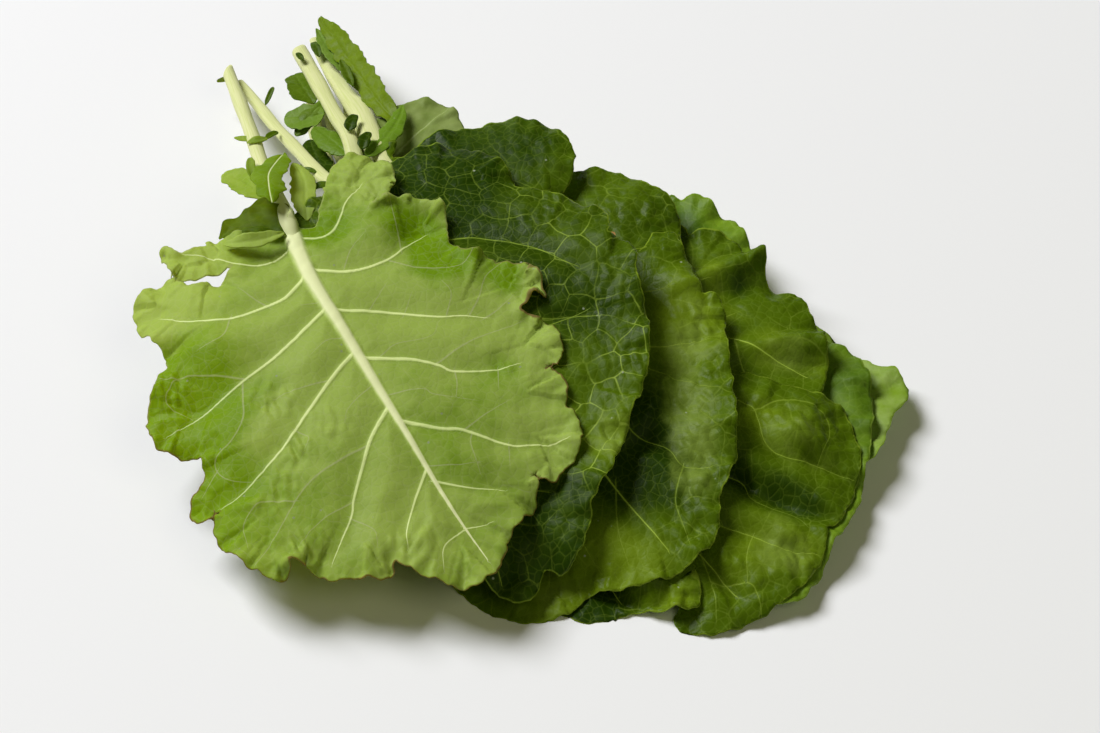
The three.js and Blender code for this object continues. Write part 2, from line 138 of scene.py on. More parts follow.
LEAF_12 = dict(
    node="leaf_12_outer_right", slot="light_blade", tone="light", spacing=1.7,
    base=(-23, 65), heading=-21.5, length=216, half_width=60, heights=(4, -10, 12, 4, 0),
    bends=[(200, -10, 35, 4)],
    outline=[
        (0, 4), (30, 45), (90, 58), (140, 50), (178, 30), (190, 22), (204, 20), (215, 9), (215, -2),
        (213, -12), (213, -25), (212, -38), (200, -60), (160, -70), (110, -66), (50, -52), (0, -4),
        (-4, 0),
    ],
    stalk=[(-58, 92, 4.5, 4), (-40, 80, 4.5, 3.8)],
    radius=3.6, ruffle=(2.5, 60), puff=1.0, swell=0.25, netting=0.35, wax=0.5,
    bloom=[(205, 0, 60, 0.35)],
    fresh=[(200, 0, 60, 0.3)],
)
LEAF_11 = dict(
    node="leaf_11_light_right", slot="light_blade", tone="light", spacing=1.7,
    base=(-33, 59), heading=-33, length=221, half_width=70, heights=(8, 7, 13, 4, -6),
    bends=[(205, 40, 35, 6)],
    outline=[
        (0, 4), (29, 51), (88, 75), (128, 80), (158, 70), (183, 64), (201, 47), (213, 25), (220, 6),
        (228, -18), (228, -40), (231, -54), (231, -66), (215, -85), (150, -85), (70, -60), (0, -4),
        (-4, 0),
    ],
    stalk=[(-72, 84, 11, 4), (-52, 71, 10, 3.8)],
    radius=3.6, ruffle=(2.5, 50), puff=1.0, swell=0.25, netting=0.35, wax=0.4,
    fresh=[(195, 40, 60, -0.3)],
)
LEAF_10 = dict(
    node="leaf_10_light_back", slot="light_blade", tone="light", spacing=1.7,
    base=(-50, 112), heading=-21, length=182, half_width=50, heights=(14, 16, 22, 7, 0),
    bends=[(135, 40, 25, 3)],
    outline=[
        (0, 4), (29, 36), (69, 49), (91, 50), (111, 46), (120, 50), (131, 45), (147, 36), (164, 16),
        (169, -7), (149, -32), (89, -37), (39, -30), (0, -4),
    ],
    stalk=[(-72, 122, 12, 3.6), (-60, 117, 13, 3.4)],
    radius=3.2, ruffle=(3, 45), puff=1.5, swell=0.3, netting=0.4,
    fresh=[(120, 15, 26, -0.6), (134, 42, 12, 0.3)],
)
LEAF_09 = dict(
    node="leaf_09_pleated", slot="dark_blade", tone="dark", spacing=1.4,
    base=(-66, 100), heading=-28, length=233, half_width=62, heights=(18, 26, 20, 2, -4),
    bends=[(165, 48, 20, 3)],
    folds=[
        (126, 0, 169, 54, 6.5, 9), (140, 0, 186, 46, 7, -3), (168, -13, 220, 22, 7, 8),
        (174, -27, 232, 5, 8, -3),
    ],
    brims=[(228, -3, 25, 10, 3)],
    crumples=[(165, 40, 18, 0.9), (215, 15, 16, 0.9)],
    outline=[
        (0, 4), (29, 44), (77, 61), (107, 64), (129, 56), (143, 62), (161, 54), (168, 57), (174, 50),
        (181, 43), (193, 46), (210, 33), (225, 15), (230, 2), (232, -10), (223, -31), (186, -55),
        (117, -60), (48, -47), (0, -4),
    ],
    stalk=[(-112, 213, 5, 4.2), (-106, 170, 5, 4.2), (-88, 124, 8, 4)],
    radius=3.8, ruffle=(2, 40), puff=1.5, swell=0.3, netting=0.3,
    # Wax patches that also paint sheen; the tone patches paint the pleats' lit faces lighter and the faces
    # that slope away from the light darker.
    bloom=[(165, 16, 14, 0.3), (205, 4, 16, 0.3)],
    fresh=[
        (163, 19, 14, 0.5), (150, 34, 8, 0.4), (166, 32, 9, -0.5), (198, 2, 16, 0.4), (190, 24, 12, 0.1),
        (228, 8, 10, 0.3), (203, -20, 10, -0.5), (110, 50, 20, -0.3),
    ],
)
LEAF_08 = dict(
    node="leaf_08_quilted", slot="dark_blade", tone="dark", spacing=1.25,
    base=(-74, 74), heading=-51, length=274, half_width=90, heights=(20, 24, 2, 2, -26),
    bends=[(255, -25, 20, -6), (200, 60, 50, 6), (216, 78, 12, 6), (256, 33, 12, 3), (186, 66, 8, 2)],
    folds=[(196, 34, 262, 62, 5.5, -9), (230, -2, 268, 22, 6, 2)],
    brims=[(240, 98, 30, 14, -7), (270, 15, 30, 12, 4)],
    crumples=[(214, 82, 18, 1.4), (262, 35, 14, 1.4), (190, 72, 10, 1.0), (250, 5, 14, 1.0)],
    outline=[
        (0, 4), (35, 44), (104, 60), (145, 68), (167, 81), (188, 95), (211, 110), (237, 99), (251, 83),
        (259, 69), (260, 56), (272, 40), (276, 16), (270, -12), (258, -29), (250, -31), (245, -24),
        (220, -30), (186, -40), (103, -45), (35, -37), (0, -4),
    ],
    stalk=[(-134, 206, 5, 4), (-122, 160, 5, 4.2), (-98, 110, 12, 4.2)],
    radius=4, ruffle=(1.5, 45), puff=3.6, puff_reach=5.5, netting=0.25,
    # Painted sheen on the lit faces of the dome, on top of the wax, and painted shade in its creases and on
    # faces turned from the light.
    bloom=[(214, 75, 18, 0.4), (258, 30, 20, 0.6)],
    fresh=[
        (214, 75, 20, 0.35), (195, 70, 12, 0.3), (230, 52, 10, -0.6), (245, 56, 9, -0.5),
        (214, 40, 10, -0.4), (248, 24, 22, 0.5), (262, 40, 14, 0.4), (255, -8, 18, 0.2),
        (180, 60, 16, 0.3),
    ],
    veins=[
        (1, 0.45, 0.25, [(120, 3), (140, 30), (160, 55), (181, 67), (191, 70), (207, 63), (218, 65),
                         (231, 76), (246, 86)]),
        (2, 0.3, 0.2, [(191, 70), (195, 85), (209, 96), (222, 92), (231, 76)]),
        (1, 0.4, 0.2, [(150, 4), (180, 18), (200, 32), (214, 42), (224, 39), (234, 44), (244, 49),
                       (253, 49)]),
        (1, 0.4, 0.2, [(190, 3), (210, 8), (228, 18), (240, 26), (254, 32), (267, 43)]),
        (2, 0.3, 0.2, [(228, 2), (246, -6), (253, -9), (262, -16)]),
        (2, 0.3, 0.2, [(246, -6), (258, 7), (267, 6), (274, 2)]),
        (2, 0.3, 0.2, [(200, 32), (212, 22), (228, 18)]),
        (2, 0.25, 0.15, [(240, 26), (247, 16), (258, 7)]),
        (1, 0.4, 0.2, [(110, -3), (135, -18), (160, -28), (190, -34)]),
        (1, 0.4, 0.2, [(170, -2), (195, -15), (215, -22), (240, -25)]),
    ],
)
LEAF_07 = dict(
    node="leaf_07_curled_tip", slot="dark_blade", tone="dark", spacing=1.4,
    base=(-80, 66), heading=-59.5, length=237, half_width=60, heights=(25, 26, 3, 4, -10),
    bends=[(214, -26, 42, -20), (245, 28, 14, 4)],
    crumples=[(235, 15, 14, 1.2)],
    curls=[(243, 14, 12, 8, 5)],
    outline=[
        (0, 4), (35, 43), (103, 56), (173, 53), (218, 41), (237, 35), (248, 30), (245, 19), (232, 2),
        (230, -8), (226, -20), (212, -30), (190, -48), (110, -58), (38, -44), (0, -4),
    ],
    stalk=[(-97, 92, 26, 3.6), (-89, 80, 27, 3.4)],
    radius=3.2, ruffle=(2, 40), puff=2.0, swell=0.3, netting=0.4,
    # Painted shade on the part that slopes away from the light, painted light on the lit band and the bright
    # folded tip.
    fresh=[(215, -12, 20, -0.6), (226, 8, 12, 0.2), (243, 20, 14, 0.6)],
)
LEAF_06 = dict(
    node="leaf_06_behind_middle", slot="dark_blade", tone="dark", spacing=1.6,
    base=(-80, 104), heading=-48, length=190, half_width=80, heights=(28, 34, 34, 0, -4),
    bends=[(80, 95, 30, 3)],
    brims=[(100, 105, 30, 14, 3)],
    crumples=[(90, 88, 25, 1.0)],
    outline=[
        (0, 6), (18, 52), (42, 79), (56, 97), (78, 104), (98, 105), (115, 95), (128, 83), (135, 69),
        (162, 48), (184, 10), (182, -26), (133, -44), (85, -51), (36, -39), (2, -6),
    ],
    stalk=[(-123, 205, 5, 4), (-112, 160, 7, 4.2), (-94, 122, 22, 4)],
    radius=3.8, ruffle=(1.5, 50), puff=1.5, swell=0.35, netting=0.4,
    fresh=[(70, 85, 20, 0.1)],
    scars=[(96, 65, 2.2, 1), (93, 67, 1.6, 1)],
)
LEAF_05 = dict(
    node="leaf_05_grey_back", slot="grey_blade", tone="grey", spacing=1.4,
    base=(-98, 122), heading=48, length=72, half_width=28, heights=(30, 33, 36, 2, 2),
    bends=[(45, 0, 30, 2)],
    outline=[
        (0, 3), (12, 20), (28, 25), (48, 23), (61, 16), (67, 1), (60, -16), (44, -23), (24, -24),
        (8, -16),
    ],
    stalk=[(-118, 92, 33, 2.6), (-108, 108, 32, 2.6)],
    radius=2.6, ruffle=(1, 30), puff=0.8, swell=0.15, netting=0.3, wax=0.5,
    bloom=[(50, 0, 60, 0.3)],
)
LEAF_04 = dict(
    node="leaf_04_middle", slot="dark_blade", tone="dark", spacing=1.25,
    base=(-96, 97), heading=-53.5, length=272, half_width=95, heights=(38, 36, 16, -2, -12),
    bends=[
        (238, -78, 50, -34), (120, 95, 22, 5), (120, 50, 42, -9), (185, 20, 44, -9), (215, 62, 30, 5),
        (216, 44, 8, 2.5), (238, 33, 8, 2), (196, 66, 9, 2), (172, 78, 8, 1.5), (140, 98, 10, 3),
    ],
    brims=[(150, 95, 45, 14, 8), (215, 72, 40, 15, 11), (255, 25, 35, 14, 7)],
    crumples=[
        (200, 62, 22, 1.3), (235, 38, 20, 1.4), (165, 88, 18, 1.2), (258, 12, 16, 1.0),
        (245, -40, 16, 1.0),
    ],
    outline=[
        (0, 6), (27, 44), (64, 69), (87, 86), (111, 97), (104, 111), (117, 115), (135, 109), (152, 103),
        (161, 108), (179, 96), (204, 80), (233, 60), (243, 49), (250, 35), (266, 20), (268, -2),
        (259, -23), (246, -39), (246, -60), (234, -77), (215, -86), (187, -88), (127, -90), (78, -75),
        (39, -49), (2, -6), (-2, 0),
    ],
    stalk=[(-140, 231, 24, 4.3), (-130, 206, 28, 4.5), (-116, 169, 35, 4.2), (-106, 142, 41, 4.4)],
    radius=4.4, slant=(-0.4, 0.3), ruffle=(2, 42), puff=2.0, swell=0.4, netting=0.35,
    # Painted sheen on top of the wax: the greyish band along the raised right margin, which faces the
    # window, and a lighter lower lobe.
    bloom=[
        (150, 95, 16, 0.4), (172, 78, 16, 0.5), (195, 60, 16, 0.55), (217, 46, 16, 0.6),
        (236, 32, 15, 0.5), (235, -50, 20, 0.5),
    ],
    # Painted light and shade: lighter on the lit band and the lower lobe, darker where the leaf above casts
    # its shadow along its margin.
    fresh=[
        (150, 92, 20, 0.6), (172, 80, 22, 0.4), (205, 55, 24, 0.2), (240, 20, 24, 0.1),
        (250, -20, 22, 0.4), (240, -40, 30, 0.9), (120, 95, 22, 0.1), (222, 12, 24, -0.5),
        (190, 30, 24, -0.6), (205, 10, 22, -0.6),
    ],
    veins=[
        (1, 0.4, 0.2, [(150, 2), (172, 12), (200, 25), (213, 33), (225, 33), (236, 44)]),
        (2, 0.3, 0.2, [(225, 33), (237, 19), (249, 14), (261, 9)]),
        (2, 0.3, 0.2, [(212, 2), (232, -12), (248, -18)]),
        (1, 0.4, 0.2, [(110, 2), (135, 25), (155, 50), (168, 72), (176, 88)]),
        (2, 0.3, 0.2, [(155, 50), (168, 50), (185, 60), (200, 68)]),
        (1, 0.4, 0.2, [(70, 2), (90, 25), (105, 55), (112, 85)]),
        (2, 0.3, 0.2, [(105, 55), (125, 72), (140, 92)]),
        (1, 0.4, 0.2, [(170, -2), (190, -22), (215, -40), (235, -55)]),
        (2, 0.3, 0.2, [(190, -22), (220, -28), (242, -30)]),
        (1, 0.4, 0.2, [(120, -2), (140, -25), (165, -50), (180, -75)]),
        (1, 0.4, 0.2, [(60, -2), (80, -25), (95, -55)]),
    ],
    leaflets=[
        dict(upper=0.9, cup=0.15, wave=0.5, fresh=0.6,
             rows=[(-129, 187, 26, 7, 6), (-136, 200, 25, 9, 9), (-142, 215, 21, 6, 7)]),
        dict(upper=0.2, cup=0.15, wave=1.0,
             rows=[(-122, 172, 33, 9, 6), (-133, 172, 31, 12, 7), (-144, 173, 29, 7, 5)]),
        dict(upper=0.7, cup=-0.2, wave=0.6, fresh=0.6,
             rows=[(-137, 160, 28, 4, 4), (-130, 171, 32, 5, 5), (-122, 182, 33, 4, 4)]),
        dict(wave=0.5, fresh=0.2,
             rows=[(-118, 120, 33, 7, 7), (-125, 140, 31, 8, 7), (-130, 158, 27, 5, 5)]),
        dict(upper=0.3, cup=-0.2, wave=0.8, bloom=0.3,
             rows=[(-107, 134, 40, 6, 6), (-117, 147, 38, 7, 6), (-127, 161, 34, 5, 5)]),
        dict(wave=0.1, fresh=0.2,
             rows=[(-136, 214, 33, 1.3, 1.3), (-138, 217, 33, 1.8, 1.8), (-140, 221, 32, 1.4, 1.4)]),
    ],
)
LEAF_03 = dict(
    node="leaf_03_upper_back", slot="dark_blade", tone="dark", spacing=1.5,
    base=(-86, 124), heading=-54, length=178, half_width=80, heights=(44, 44, 44, 1, 0),
    bends=[(40, 75, 30, 3)],
    crumples=[(45, 70, 16, 1.0)],
    outline=[
        (0, 3), (-4, 8), (-8, 12), (-12, 8), (-10, -2), (-4, -5), (4, -6), (29, -44), (88, -59),
        (147, -43), (174, -7), (178, 27), (145, 54), (104, 66), (68, 54), (71, 62), (67, 72), (55, 82),
        (40, 86), (18, 75), (6, 52), (-2, 30), (2, 12), (1, 8),
    ],
    stalk=[
        (-133, 246, 18, 2.6), (-125, 224, 21, 3.6), (-113, 195, 27, 5.0), (-102, 171, 33, 6.2),
        (-95, 145, 40, 6.4),
    ],
    radius=4.6, ruffle=(1.5, 45), puff=1.5, swell=0.35, netting=0.4,
    fresh=[(35, 61, 22, -0.5), (8, 35, 20, -0.5)],
    leaflets=[
        dict(cup=0.1, wave=0.7, quilt=0.3, fresh=1.0, bloom=0.1,
             rows=[(-129, 252, 30, 5, 5, -30), (-126, 244, 31, 6, 5, -30), (-119, 230, 33, 7, 5.5, -30),
                   (-110, 210, 35, 8, 6, -30), (-101, 192, 37, 8.5, 6, -30), (-91, 172, 39, 8.5, 6, -25),
                   (-82, 158, 40, 8, 6, -10)]),
        dict(upper=0, cup=-0.1, wave=0.3, bloom=0.2,
             rows=[(-79, 170, 42, 1.5, 2), (-81, 158, 43, 4, 5), (-87, 142, 45, 6, 6),
                   (-96, 126, 47, 5, 5)]),
        dict(wave=0.1, fresh=0.2,
             rows=[(-107, 146, 46, 3, 3), (-105.5, 152, 47, 3.3, 3.3), (-104, 158, 46, 2.5, 2.5)]),
        dict(wave=0.1, fresh=0.2,
             rows=[(-98.5, 128, 50, 3, 3), (-97.5, 134, 51, 3.3, 3.3), (-96, 141, 50, 2.5, 2.5)]),
        dict(upper=0.8, wave=0.2, fresh=0.2,
             rows=[(-128, 222, 28, 2, 2), (-130, 229, 29, 3, 3), (-132, 235, 27, 2, 2)]),
        dict(cup=0.1, wave=0.6, fresh=0.4,
             rows=[(-107, 187, 39, 1.5, 1.5), (-111, 198, 39, 3, 2.5), (-115, 209, 38, 1.5, 1.5)]),
        dict(upper=0.2, cup=0.1, wave=0.3, fresh=0.6,
             rows=[(-131, 245, 28, 2, 2), (-123, 226, 30, 3, 4), (-114, 206, 32, 3, 3)]),
    ],
)
LEAF_02 = dict(
    node="leaf_02_dark_front", slot="dark_blade", tone="dark", spacing=1.35,
    base=(-108, 104), heading=-69.5, length=258, half_width=95, heights=(50, 46, 10, 2, -14),
    bends=[(100, 105, 40, 5), (250, 20, 30, -3)],
    brims=[(110, 112, 40, 14, 6), (175, 98, 40, 16, 11), (225, 55, 35, 16, 13)],
    crumples=[
        (200, 75, 22, 1.3), (160, 97, 22, 1.1), (118, 112, 18, 1.1), (60, 95, 18, 0.9),
        (235, 45, 12, 0.9),
    ],
    outline=[
        (0, 8), (-6, 20), (-8, 38), (-8, 48), (-7, 58), (1, 68), (9, 77), (24, 83), (39, 82), (52, 97),
        (62, 107), (76, 116), (93, 112), (104, 121), (121, 116), (162, 107), (193, 85), (212, 70),
        (228, 51), (243, 42), (249, 27), (246, 24), (244, 21), (256, 8), (248, -3), (238, -9), (232, -18),
        (227, -33), (213, -44), (172, -79), (110, -86), (60, -78), (34, -66), (20, -46), (12, -24),
        (2, -8),
    ],
    stalk=[
        (-173, 214, 15, 2.8), (-162, 194, 20, 3.2), (-149, 169, 26, 3.5), (-134, 143, 33, 3.6),
        (-119, 116, 41, 3.8),
    ],
    radius=4.2, ruffle=(2, 40), puff=2.2, puff_reach=6, cell=15.5, grain=0.25, netting=1.0,
    # Painted sheen along the raised right margin, on top of the wax.
    bloom=[(188, 72, 16, 0.25), (205, 70, 12, 0.3), (160, 96, 14, 0.25), (120, 108, 14, 0.3)],
    # Painted shade where the top leaf's lobes and margin cast shadows, near the base and on the lower part,
    # and painted light on the lit right margin.
    fresh=[
        (20, 42, 26, -1.0), (10, 60, 18, -0.6), (60, 60, 20, -0.2), (193, 66, 26, 0.2),
        (140, 90, 30, -0.15), (100, 70, 40, -0.2), (225, 10, 30, -0.6), (237, 36, 26, -0.9),
        (205, 72, 14, 0.4),
    ],
    leaflets=[
        dict(wave=0.2,
             rows=[(-156, 189, 23, 1, 1), (-154, 194, 25, 1.5, 1.5), (-152, 199, 27, 1.3, 1.3)]),
        dict(wave=0.2,
             rows=[(-146, 158, 33, 1.4, 1.4), (-149, 154, 35, 2, 2), (-152, 150, 36, 1.4, 1.4)]),
        dict(upper=0.8, wave=0.2,
             rows=[(-122, 118, 43, 1, 1), (-127, 120, 43, 1.6, 1.6), (-132, 122, 41, 1, 1)]),
        dict(wave=0.4,
             rows=[(-115, 106, 46, 2, 2), (-120, 106, 46, 2.4, 2.4), (-125, 104, 44, 1.5, 1.5)]),
    ],
)
LEAF_01 = dict(
    node="leaf_01_pale_top", slot="pale_underside", tone="pale", spacing=1.05, underside=True,
    base=(-134, 76), heading=-64.5, length=233, half_width=100, heights=(55, 51, 24, -4, -18),
    bends=[
        (0, 50, 25, 4), (36, 60, 14, -7), (32, 38, 16, 3), (92, 86, 14, -7), (72, 74, 18, 2),
        (115, 80, 12, -3), (60, -66, 16, 3), (84, -84, 16, -4), (48, -84, 9, -2), (104, -50, 14, -2),
        (205, -20, 20, 3), (185, 20, 22, 2), (160, 50, 24, 2), (30, -24, 16, -2),
    ],
    folds=[
        (146, -96, 152, -77, 3, 2), (54, -68, 47, -88, 4, -2), (60, -76, 70, -97, 4, 2),
        (135, 60, 150, 66, 4, 1), (178, -62, 190, -74, 4, 2),
    ],
    brims=[
        (30, 73, 17, 12, 11), (60, 78, 14, 9, 6), (92, 98, 18, 12, 10), (127, 90, 22, 16, 7),
        (180, 74, 25, 12, 6), (232, 0, 30, 12, 4), (84, -104, 24, 22, 5), (140, -106, 20, 18, -3),
        (162, -100, 18, 14, 5), (186, -90, 16, 14, 6), (-15, -62, 16, 10, 3), (-10, 60, 20, 10, 4),
    ],
    crumples=[
        (104, -50, 10, 1.5), (131, -31, 9, 1.0), (137, -49, 8, 1.2), (142, -60, 9, 1.0),
        (155, -68, 10, 1.0), (203, -14, 9, 1.0), (182, -64, 9, 1.3), (76, -88, 12, 1.2),
        (70, -98, 9, 1.4), (184, -72, 7, 1.5), (205, -30, 8, 1.2), (14, 48, 8, 1.3), (134, 62, 6, 0.8),
        (116, -88, 8, 1.4), (-10, 36, 16, 1.0), (0, 60, 10, 1.0),
    ],
    curls=[(101, 88, 7, 7, 3), (18, 46, 7, 5, 2.5), (184, -76, 5, 6, 2.5)],
    outline=[
        (5, 2), (13, 5), (11, 12), (0, 19), (-10, 24), (-18, 31), (-21, 35), (-24, 43), (-18, 54),
        (2, 59), (13, 50), (16, 44), (18, 40), (19, 57), (31, 72), (43, 70), (51, 67), (64, 69), (69, 77),
        (74, 80), (78, 81), (88, 95), (109, 95), (105, 89), (109, 81), (127, 92), (145, 84), (144, 82),
        (143, 80), (156, 83), (166, 78), (186, 77), (200, 56), (198, 51), (194, 48), (202, 46), (213, 33),
        (216, 27), (221, 20), (234, 5), (228, -14), (220, -22), (208, -31), (212, -40), (199, -63),
        (191, -70), (187, -76), (192, -82), (182, -91), (169, -99), (156, -101), (149, -100), (144, -96),
        (146, -103), (139, -107), (132, -105), (126, -97), (121, -93), (114, -92), (92, -110), (62, -93),
        (57, -88), (45, -87), (35, -90), (32, -93), (13, -89), (8, -77), (8, -71), (9, -65), (19, -61),
        (22, -53), (26, -48), (19, -38), (20, -46), (15, -60), (7, -66), (-2, -67), (-9, -67), (-10, -62),
        (-2, -56), (0, -44), (-3, -42), (0, -35), (2, -19), (10, -8), (1, 1),
    ],
    stalk=[(-179, 218, 20, 3.4), (-169, 185, 28, 3.8), (-159, 151, 36, 4.0), (-150, 118, 44, 4.3)],
    radius=4.6, slant=(-1.3, 0), ruffle=(2.0, 33), teeth=0.5, puff=2.3, swell=0.0, roll=1.4, grain=0.3,
    netting=0.25, wax=0.5, rust=(40, 110),
    # Painted light on the top leaf: high amounts pale it like a waxy face catching sheen, negative amounts
    # give a deeper green for shade on faces turned from the light.
    bloom=[
        (75, 20, 45, 0.5), (100, -30, 40, 0.5), (30, 68, 14, 0.9), (92, 97, 14, 0.8), (130, 90, 16, 0.7),
        (10, -70, 22, 0.6), (30, -85, 14, 0.6), (-5, -60, 16, 0.5), (190, -20, 35, 0.5),
        (175, 60, 25, 0.4), (0, 50, 20, 0.5), (34, 57, 14, -1.0), (60, 62, 14, -0.7), (88, 84, 12, -0.9),
        (20, 14, 16, -0.5), (82, -88, 24, -1.0), (100, -100, 18, -0.7), (50, -95, 10, -0.5),
        (130, -92, 16, -0.7), (134, 58, 12, -0.4), (115, 78, 8, -0.5), (160, -92, 18, -0.4),
        (95, -45, 10, -0.4), (118, 8, 14, -0.3), (60, 24, 14, -0.2), (178, 12, 14, -0.2),
        (112, 66, 26, 0.6), (64, 54, 14, -0.9), (104, -70, 14, -0.3), (120, -60, 12, 0.3),
    ],
    midrib=[(-12, -1), (5, -2), (44, -6), (90, -4), (135, -1), (183, 3), (206, 6), (224, 9)],
    veins=[
        (1, 0.7, 0.3, [(18, -2), (23, 10), (20, 18), (14, 24), (7, 30), (0, 41)]),
        (1, 0.9, 0.3, [(42, -3), (51, 14), (52, 33), (48, 44), (42, 58)]),
        (1, 0.8, 0.35, [(71, -3), (81, 18), (95, 41), (99, 52), (105, 63)]),
        (1, 0.9, 0.35, [(104, -1), (114, 19), (122, 30), (128, 36), (135, 56), (136, 66)]),
        (1, 0.9, 0.3, [(144, 1), (155, 16), (160, 26), (175, 43), (179, 54), (184, 70)]),
        (1, 0.5, 0.25, [(179, 3), (188, 16), (195, 31)]),
        (1, 0.3, 0.2, [(206, 6), (208, 19)]),
        (1, 0.35, 0.2, [(206, 6), (211, -7), (221, -12)]),
        (1, 0.6, 0.2, [(172, 1), (185, -11), (197, -20), (205, -23)]),
        (1, 0.9, 0.3, [(135, -3), (146, -16), (157, -25), (171, -36), (179, -41), (194, -57)]),
        (1, 0.85, 0.3, [(100, -7), (106, -18), (118, -36), (132, -57), (143, -83), (144, -93)]),
        (1, 0.8, 0.3, [(69, -8), (76, -22), (82, -37), (87, -59), (93, -82), (96, -102)]),
        (1, 0.85, 0.3, [(44, -8), (52, -21), (53, -32), (51, -52), (40, -70), (30, -80)]),
        (1, 0.5, 0.25, [(22, -6), (26, -20), (21, -34), (10, -45), (-2, -58)]),
        (2, 0.35, 0.2, [(52, 33), (65, 46), (72, 64), (65, 79)]),
        (2, 0.3, 0.2, [(49, 42), (37, 45), (19, 49)]),
        (2, 0.25, 0.15, [(47, 12), (39, 19), (34, 28)]),
        (2, 0.3, 0.2, [(100, 57), (93, 65), (83, 73), (79, 83)]),
        (2, 0.25, 0.2, [(96, 46), (86, 53), (78, 52)]),
        (2, 0.3, 0.15, [(105, 63), (103, 71), (99, 81)]),
        (2, 0.2, 0.15, [(77, 13), (67, 26)]),
        (2, 0.2, 0.15, [(87, 27), (78, 35)]),
        (2, 0.35, 0.2, [(121, 29), (116, 51), (114, 78)]),
        (2, 0.3, 0.2, [(128, 36), (135, 34), (143, 30)]),
        (2, 0.25, 0.2, [(135, 56), (144, 52)]),
        (2, 0.2, 0.15, [(106, 6), (103, 16), (106, 33), (99, 40)]),
        (2, 0.3, 0.2, [(160, 26), (156, 42), (154, 52)]),
        (2, 0.25, 0.2, [(163, 29), (169, 26), (184, 24)]),
        (2, 0.25, 0.2, [(175, 43), (185, 39)]),
        (2, 0.25, 0.15, [(170, 2), (176, 15), (179, 26)]),
        (2, 0.4, 0.2, [(149, -19), (151, -34), (154, -49), (160, -61), (172, -77), (180, -90)]),
        (2, 0.25, 0.2, [(179, -41), (190, -34), (197, -35)]),
        (2, 0.25, 0.2, [(172, -37), (175, -55), (182, -70)]),
        (3, 0.3, 0.2, [(160, -62), (153, -76), (158, -87), (170, -90)]),
        (2, 0.3, 0.2, [(108, -22), (106, -36), (105, -49)]),
        (2, 0.25, 0.15, [(126, -47), (133, -43), (138, -47)]),
        (2, 0.35, 0.25, [(87, -59), (98, -63), (108, -67), (116, -76), (121, -87), (132, -86),
                         (139, -76)]),
        (3, 0.25, 0.2, [(126, -88), (132, -98)]),
        (2, 0.35, 0.25, [(86, -58), (77, -71), (70, -87), (79, -96), (92, -88)]),
        (3, 0.25, 0.2, [(70, -87), (65, -95)]),
        (2, 0.35, 0.2, [(51, -51), (61, -59), (62, -72)]),
        (2, 0.35, 0.2, [(53, -32), (44, -37), (36, -40)]),
        (2, 0.2, 0.15, [(64, -7), (62, -18)]),
        (2, 0.25, 0.15, [(89, -6), (88, -14), (92, -24)]),
        (2, 0.25, 0.15, [(119, -3), (127, -19), (133, -24)]),
        (2, 0.25, 0.15, [(128, 1), (133, 17), (138, 21), (148, 38)]),
    ],
    leaflets=[
        dict(upper=0, cup=0.1, wave=0.8,
             rows=[(-146, 93, 49, 6, 5), (-153, 102, 47, 8, 8), (-161, 112, 43, 8, 8),
                   (-172, 122, 38, 6, 6)]),
        dict(upper=0.5, cup=0.2, wave=0.3,
             rows=[(-154, 103, 54, 2, 2), (-156, 113, 53, 2.5, 2.5), (-157, 122, 50, 1.5, 1.5)]),
        dict(upper=0.2, cup=-0.15, wave=1.2, bloom=1.0,
             rows=[(-124, 74, 53, 3, 4), (-126, 89, 52, 6, 6), (-128, 106, 50, 7, 6),
                   (-134, 121, 47, 5, 4)]),
        dict(upper=0.3, cup=-0.12, wave=1.8, ribbed=True, bloom=0.2,
             rows=[(-140.5, 71, 69.5, 5, 5), (-143, 84, 67.5, 7, 8), (-144.5, 99, 62, 8, 8.5),
                   (-142, 117, 53, 7, 8), (-140, 124, 50, 5, 6)]),
        dict(cup=0.05, wave=2.0, quilt=0.5, fresh=0.25, bloom=0.0,
             rows=[(-133, 60, 57, 4, 12), (-146, 66, 57, 6, 16), (-158, 66, 55, 6, 11),
                   (-168, 62, 52, 2, 4)]),
        dict(upper=0, cup=0.1, wave=0.7, bloom=1.0,
             rows=[(-134, 58, 61, 2, 2, 0), (-146, 53, 61, 3.5, 4, 20), (-157, 52, 60, 3.5, 3.5, 20),
                   (-165, 54, 57, 2, 2, 0)]),
        dict(wave=0.1, fresh=0.2,
             rows=[(-177, 211, 21, 1.2, 1.2), (-181, 211, 21, 2, 2), (-185, 212, 19, 1.4, 1.4)]),
        dict(upper=0.3, wave=0.2,
             rows=[(-157, 146, 39, 1.6, 1.6), (-164, 148, 38, 1.8, 1.8), (-169, 151, 36, 1, 1)]),
        dict(upper=0.4, wave=0.3,
             rows=[(-161, 141, 42, 1.6, 1.6), (-156, 141, 44, 2.4, 2.4), (-150, 144, 42, 1.6, 1.6)]),
    ],
)
LEAVES = [
    LEAF_12, LEAF_11, LEAF_10, LEAF_09, LEAF_08, LEAF_07, LEAF_06, LEAF_05, LEAF_04, LEAF_03, LEAF_02,
    LEAF_01,
]


# --- Plan geometry ---
def unit(vectors, least=1e-12):
    """The vectors at length 1; those shorter than least stay short."""
    return vectors / np.maximum(np.linalg.norm(vectors, axis=1, keepdims=True), least)


def cross2(a, b):
    return a[:, 0] * b[:, 1] - a[:, 1] * b[:, 0]


def hill(s, w, top_s, top_w, reach):
    """A round hill of height 1."""
    return np.exp(-((s - top_s) ** 2 + (w - top_w) ** 2) / reach ** 2)


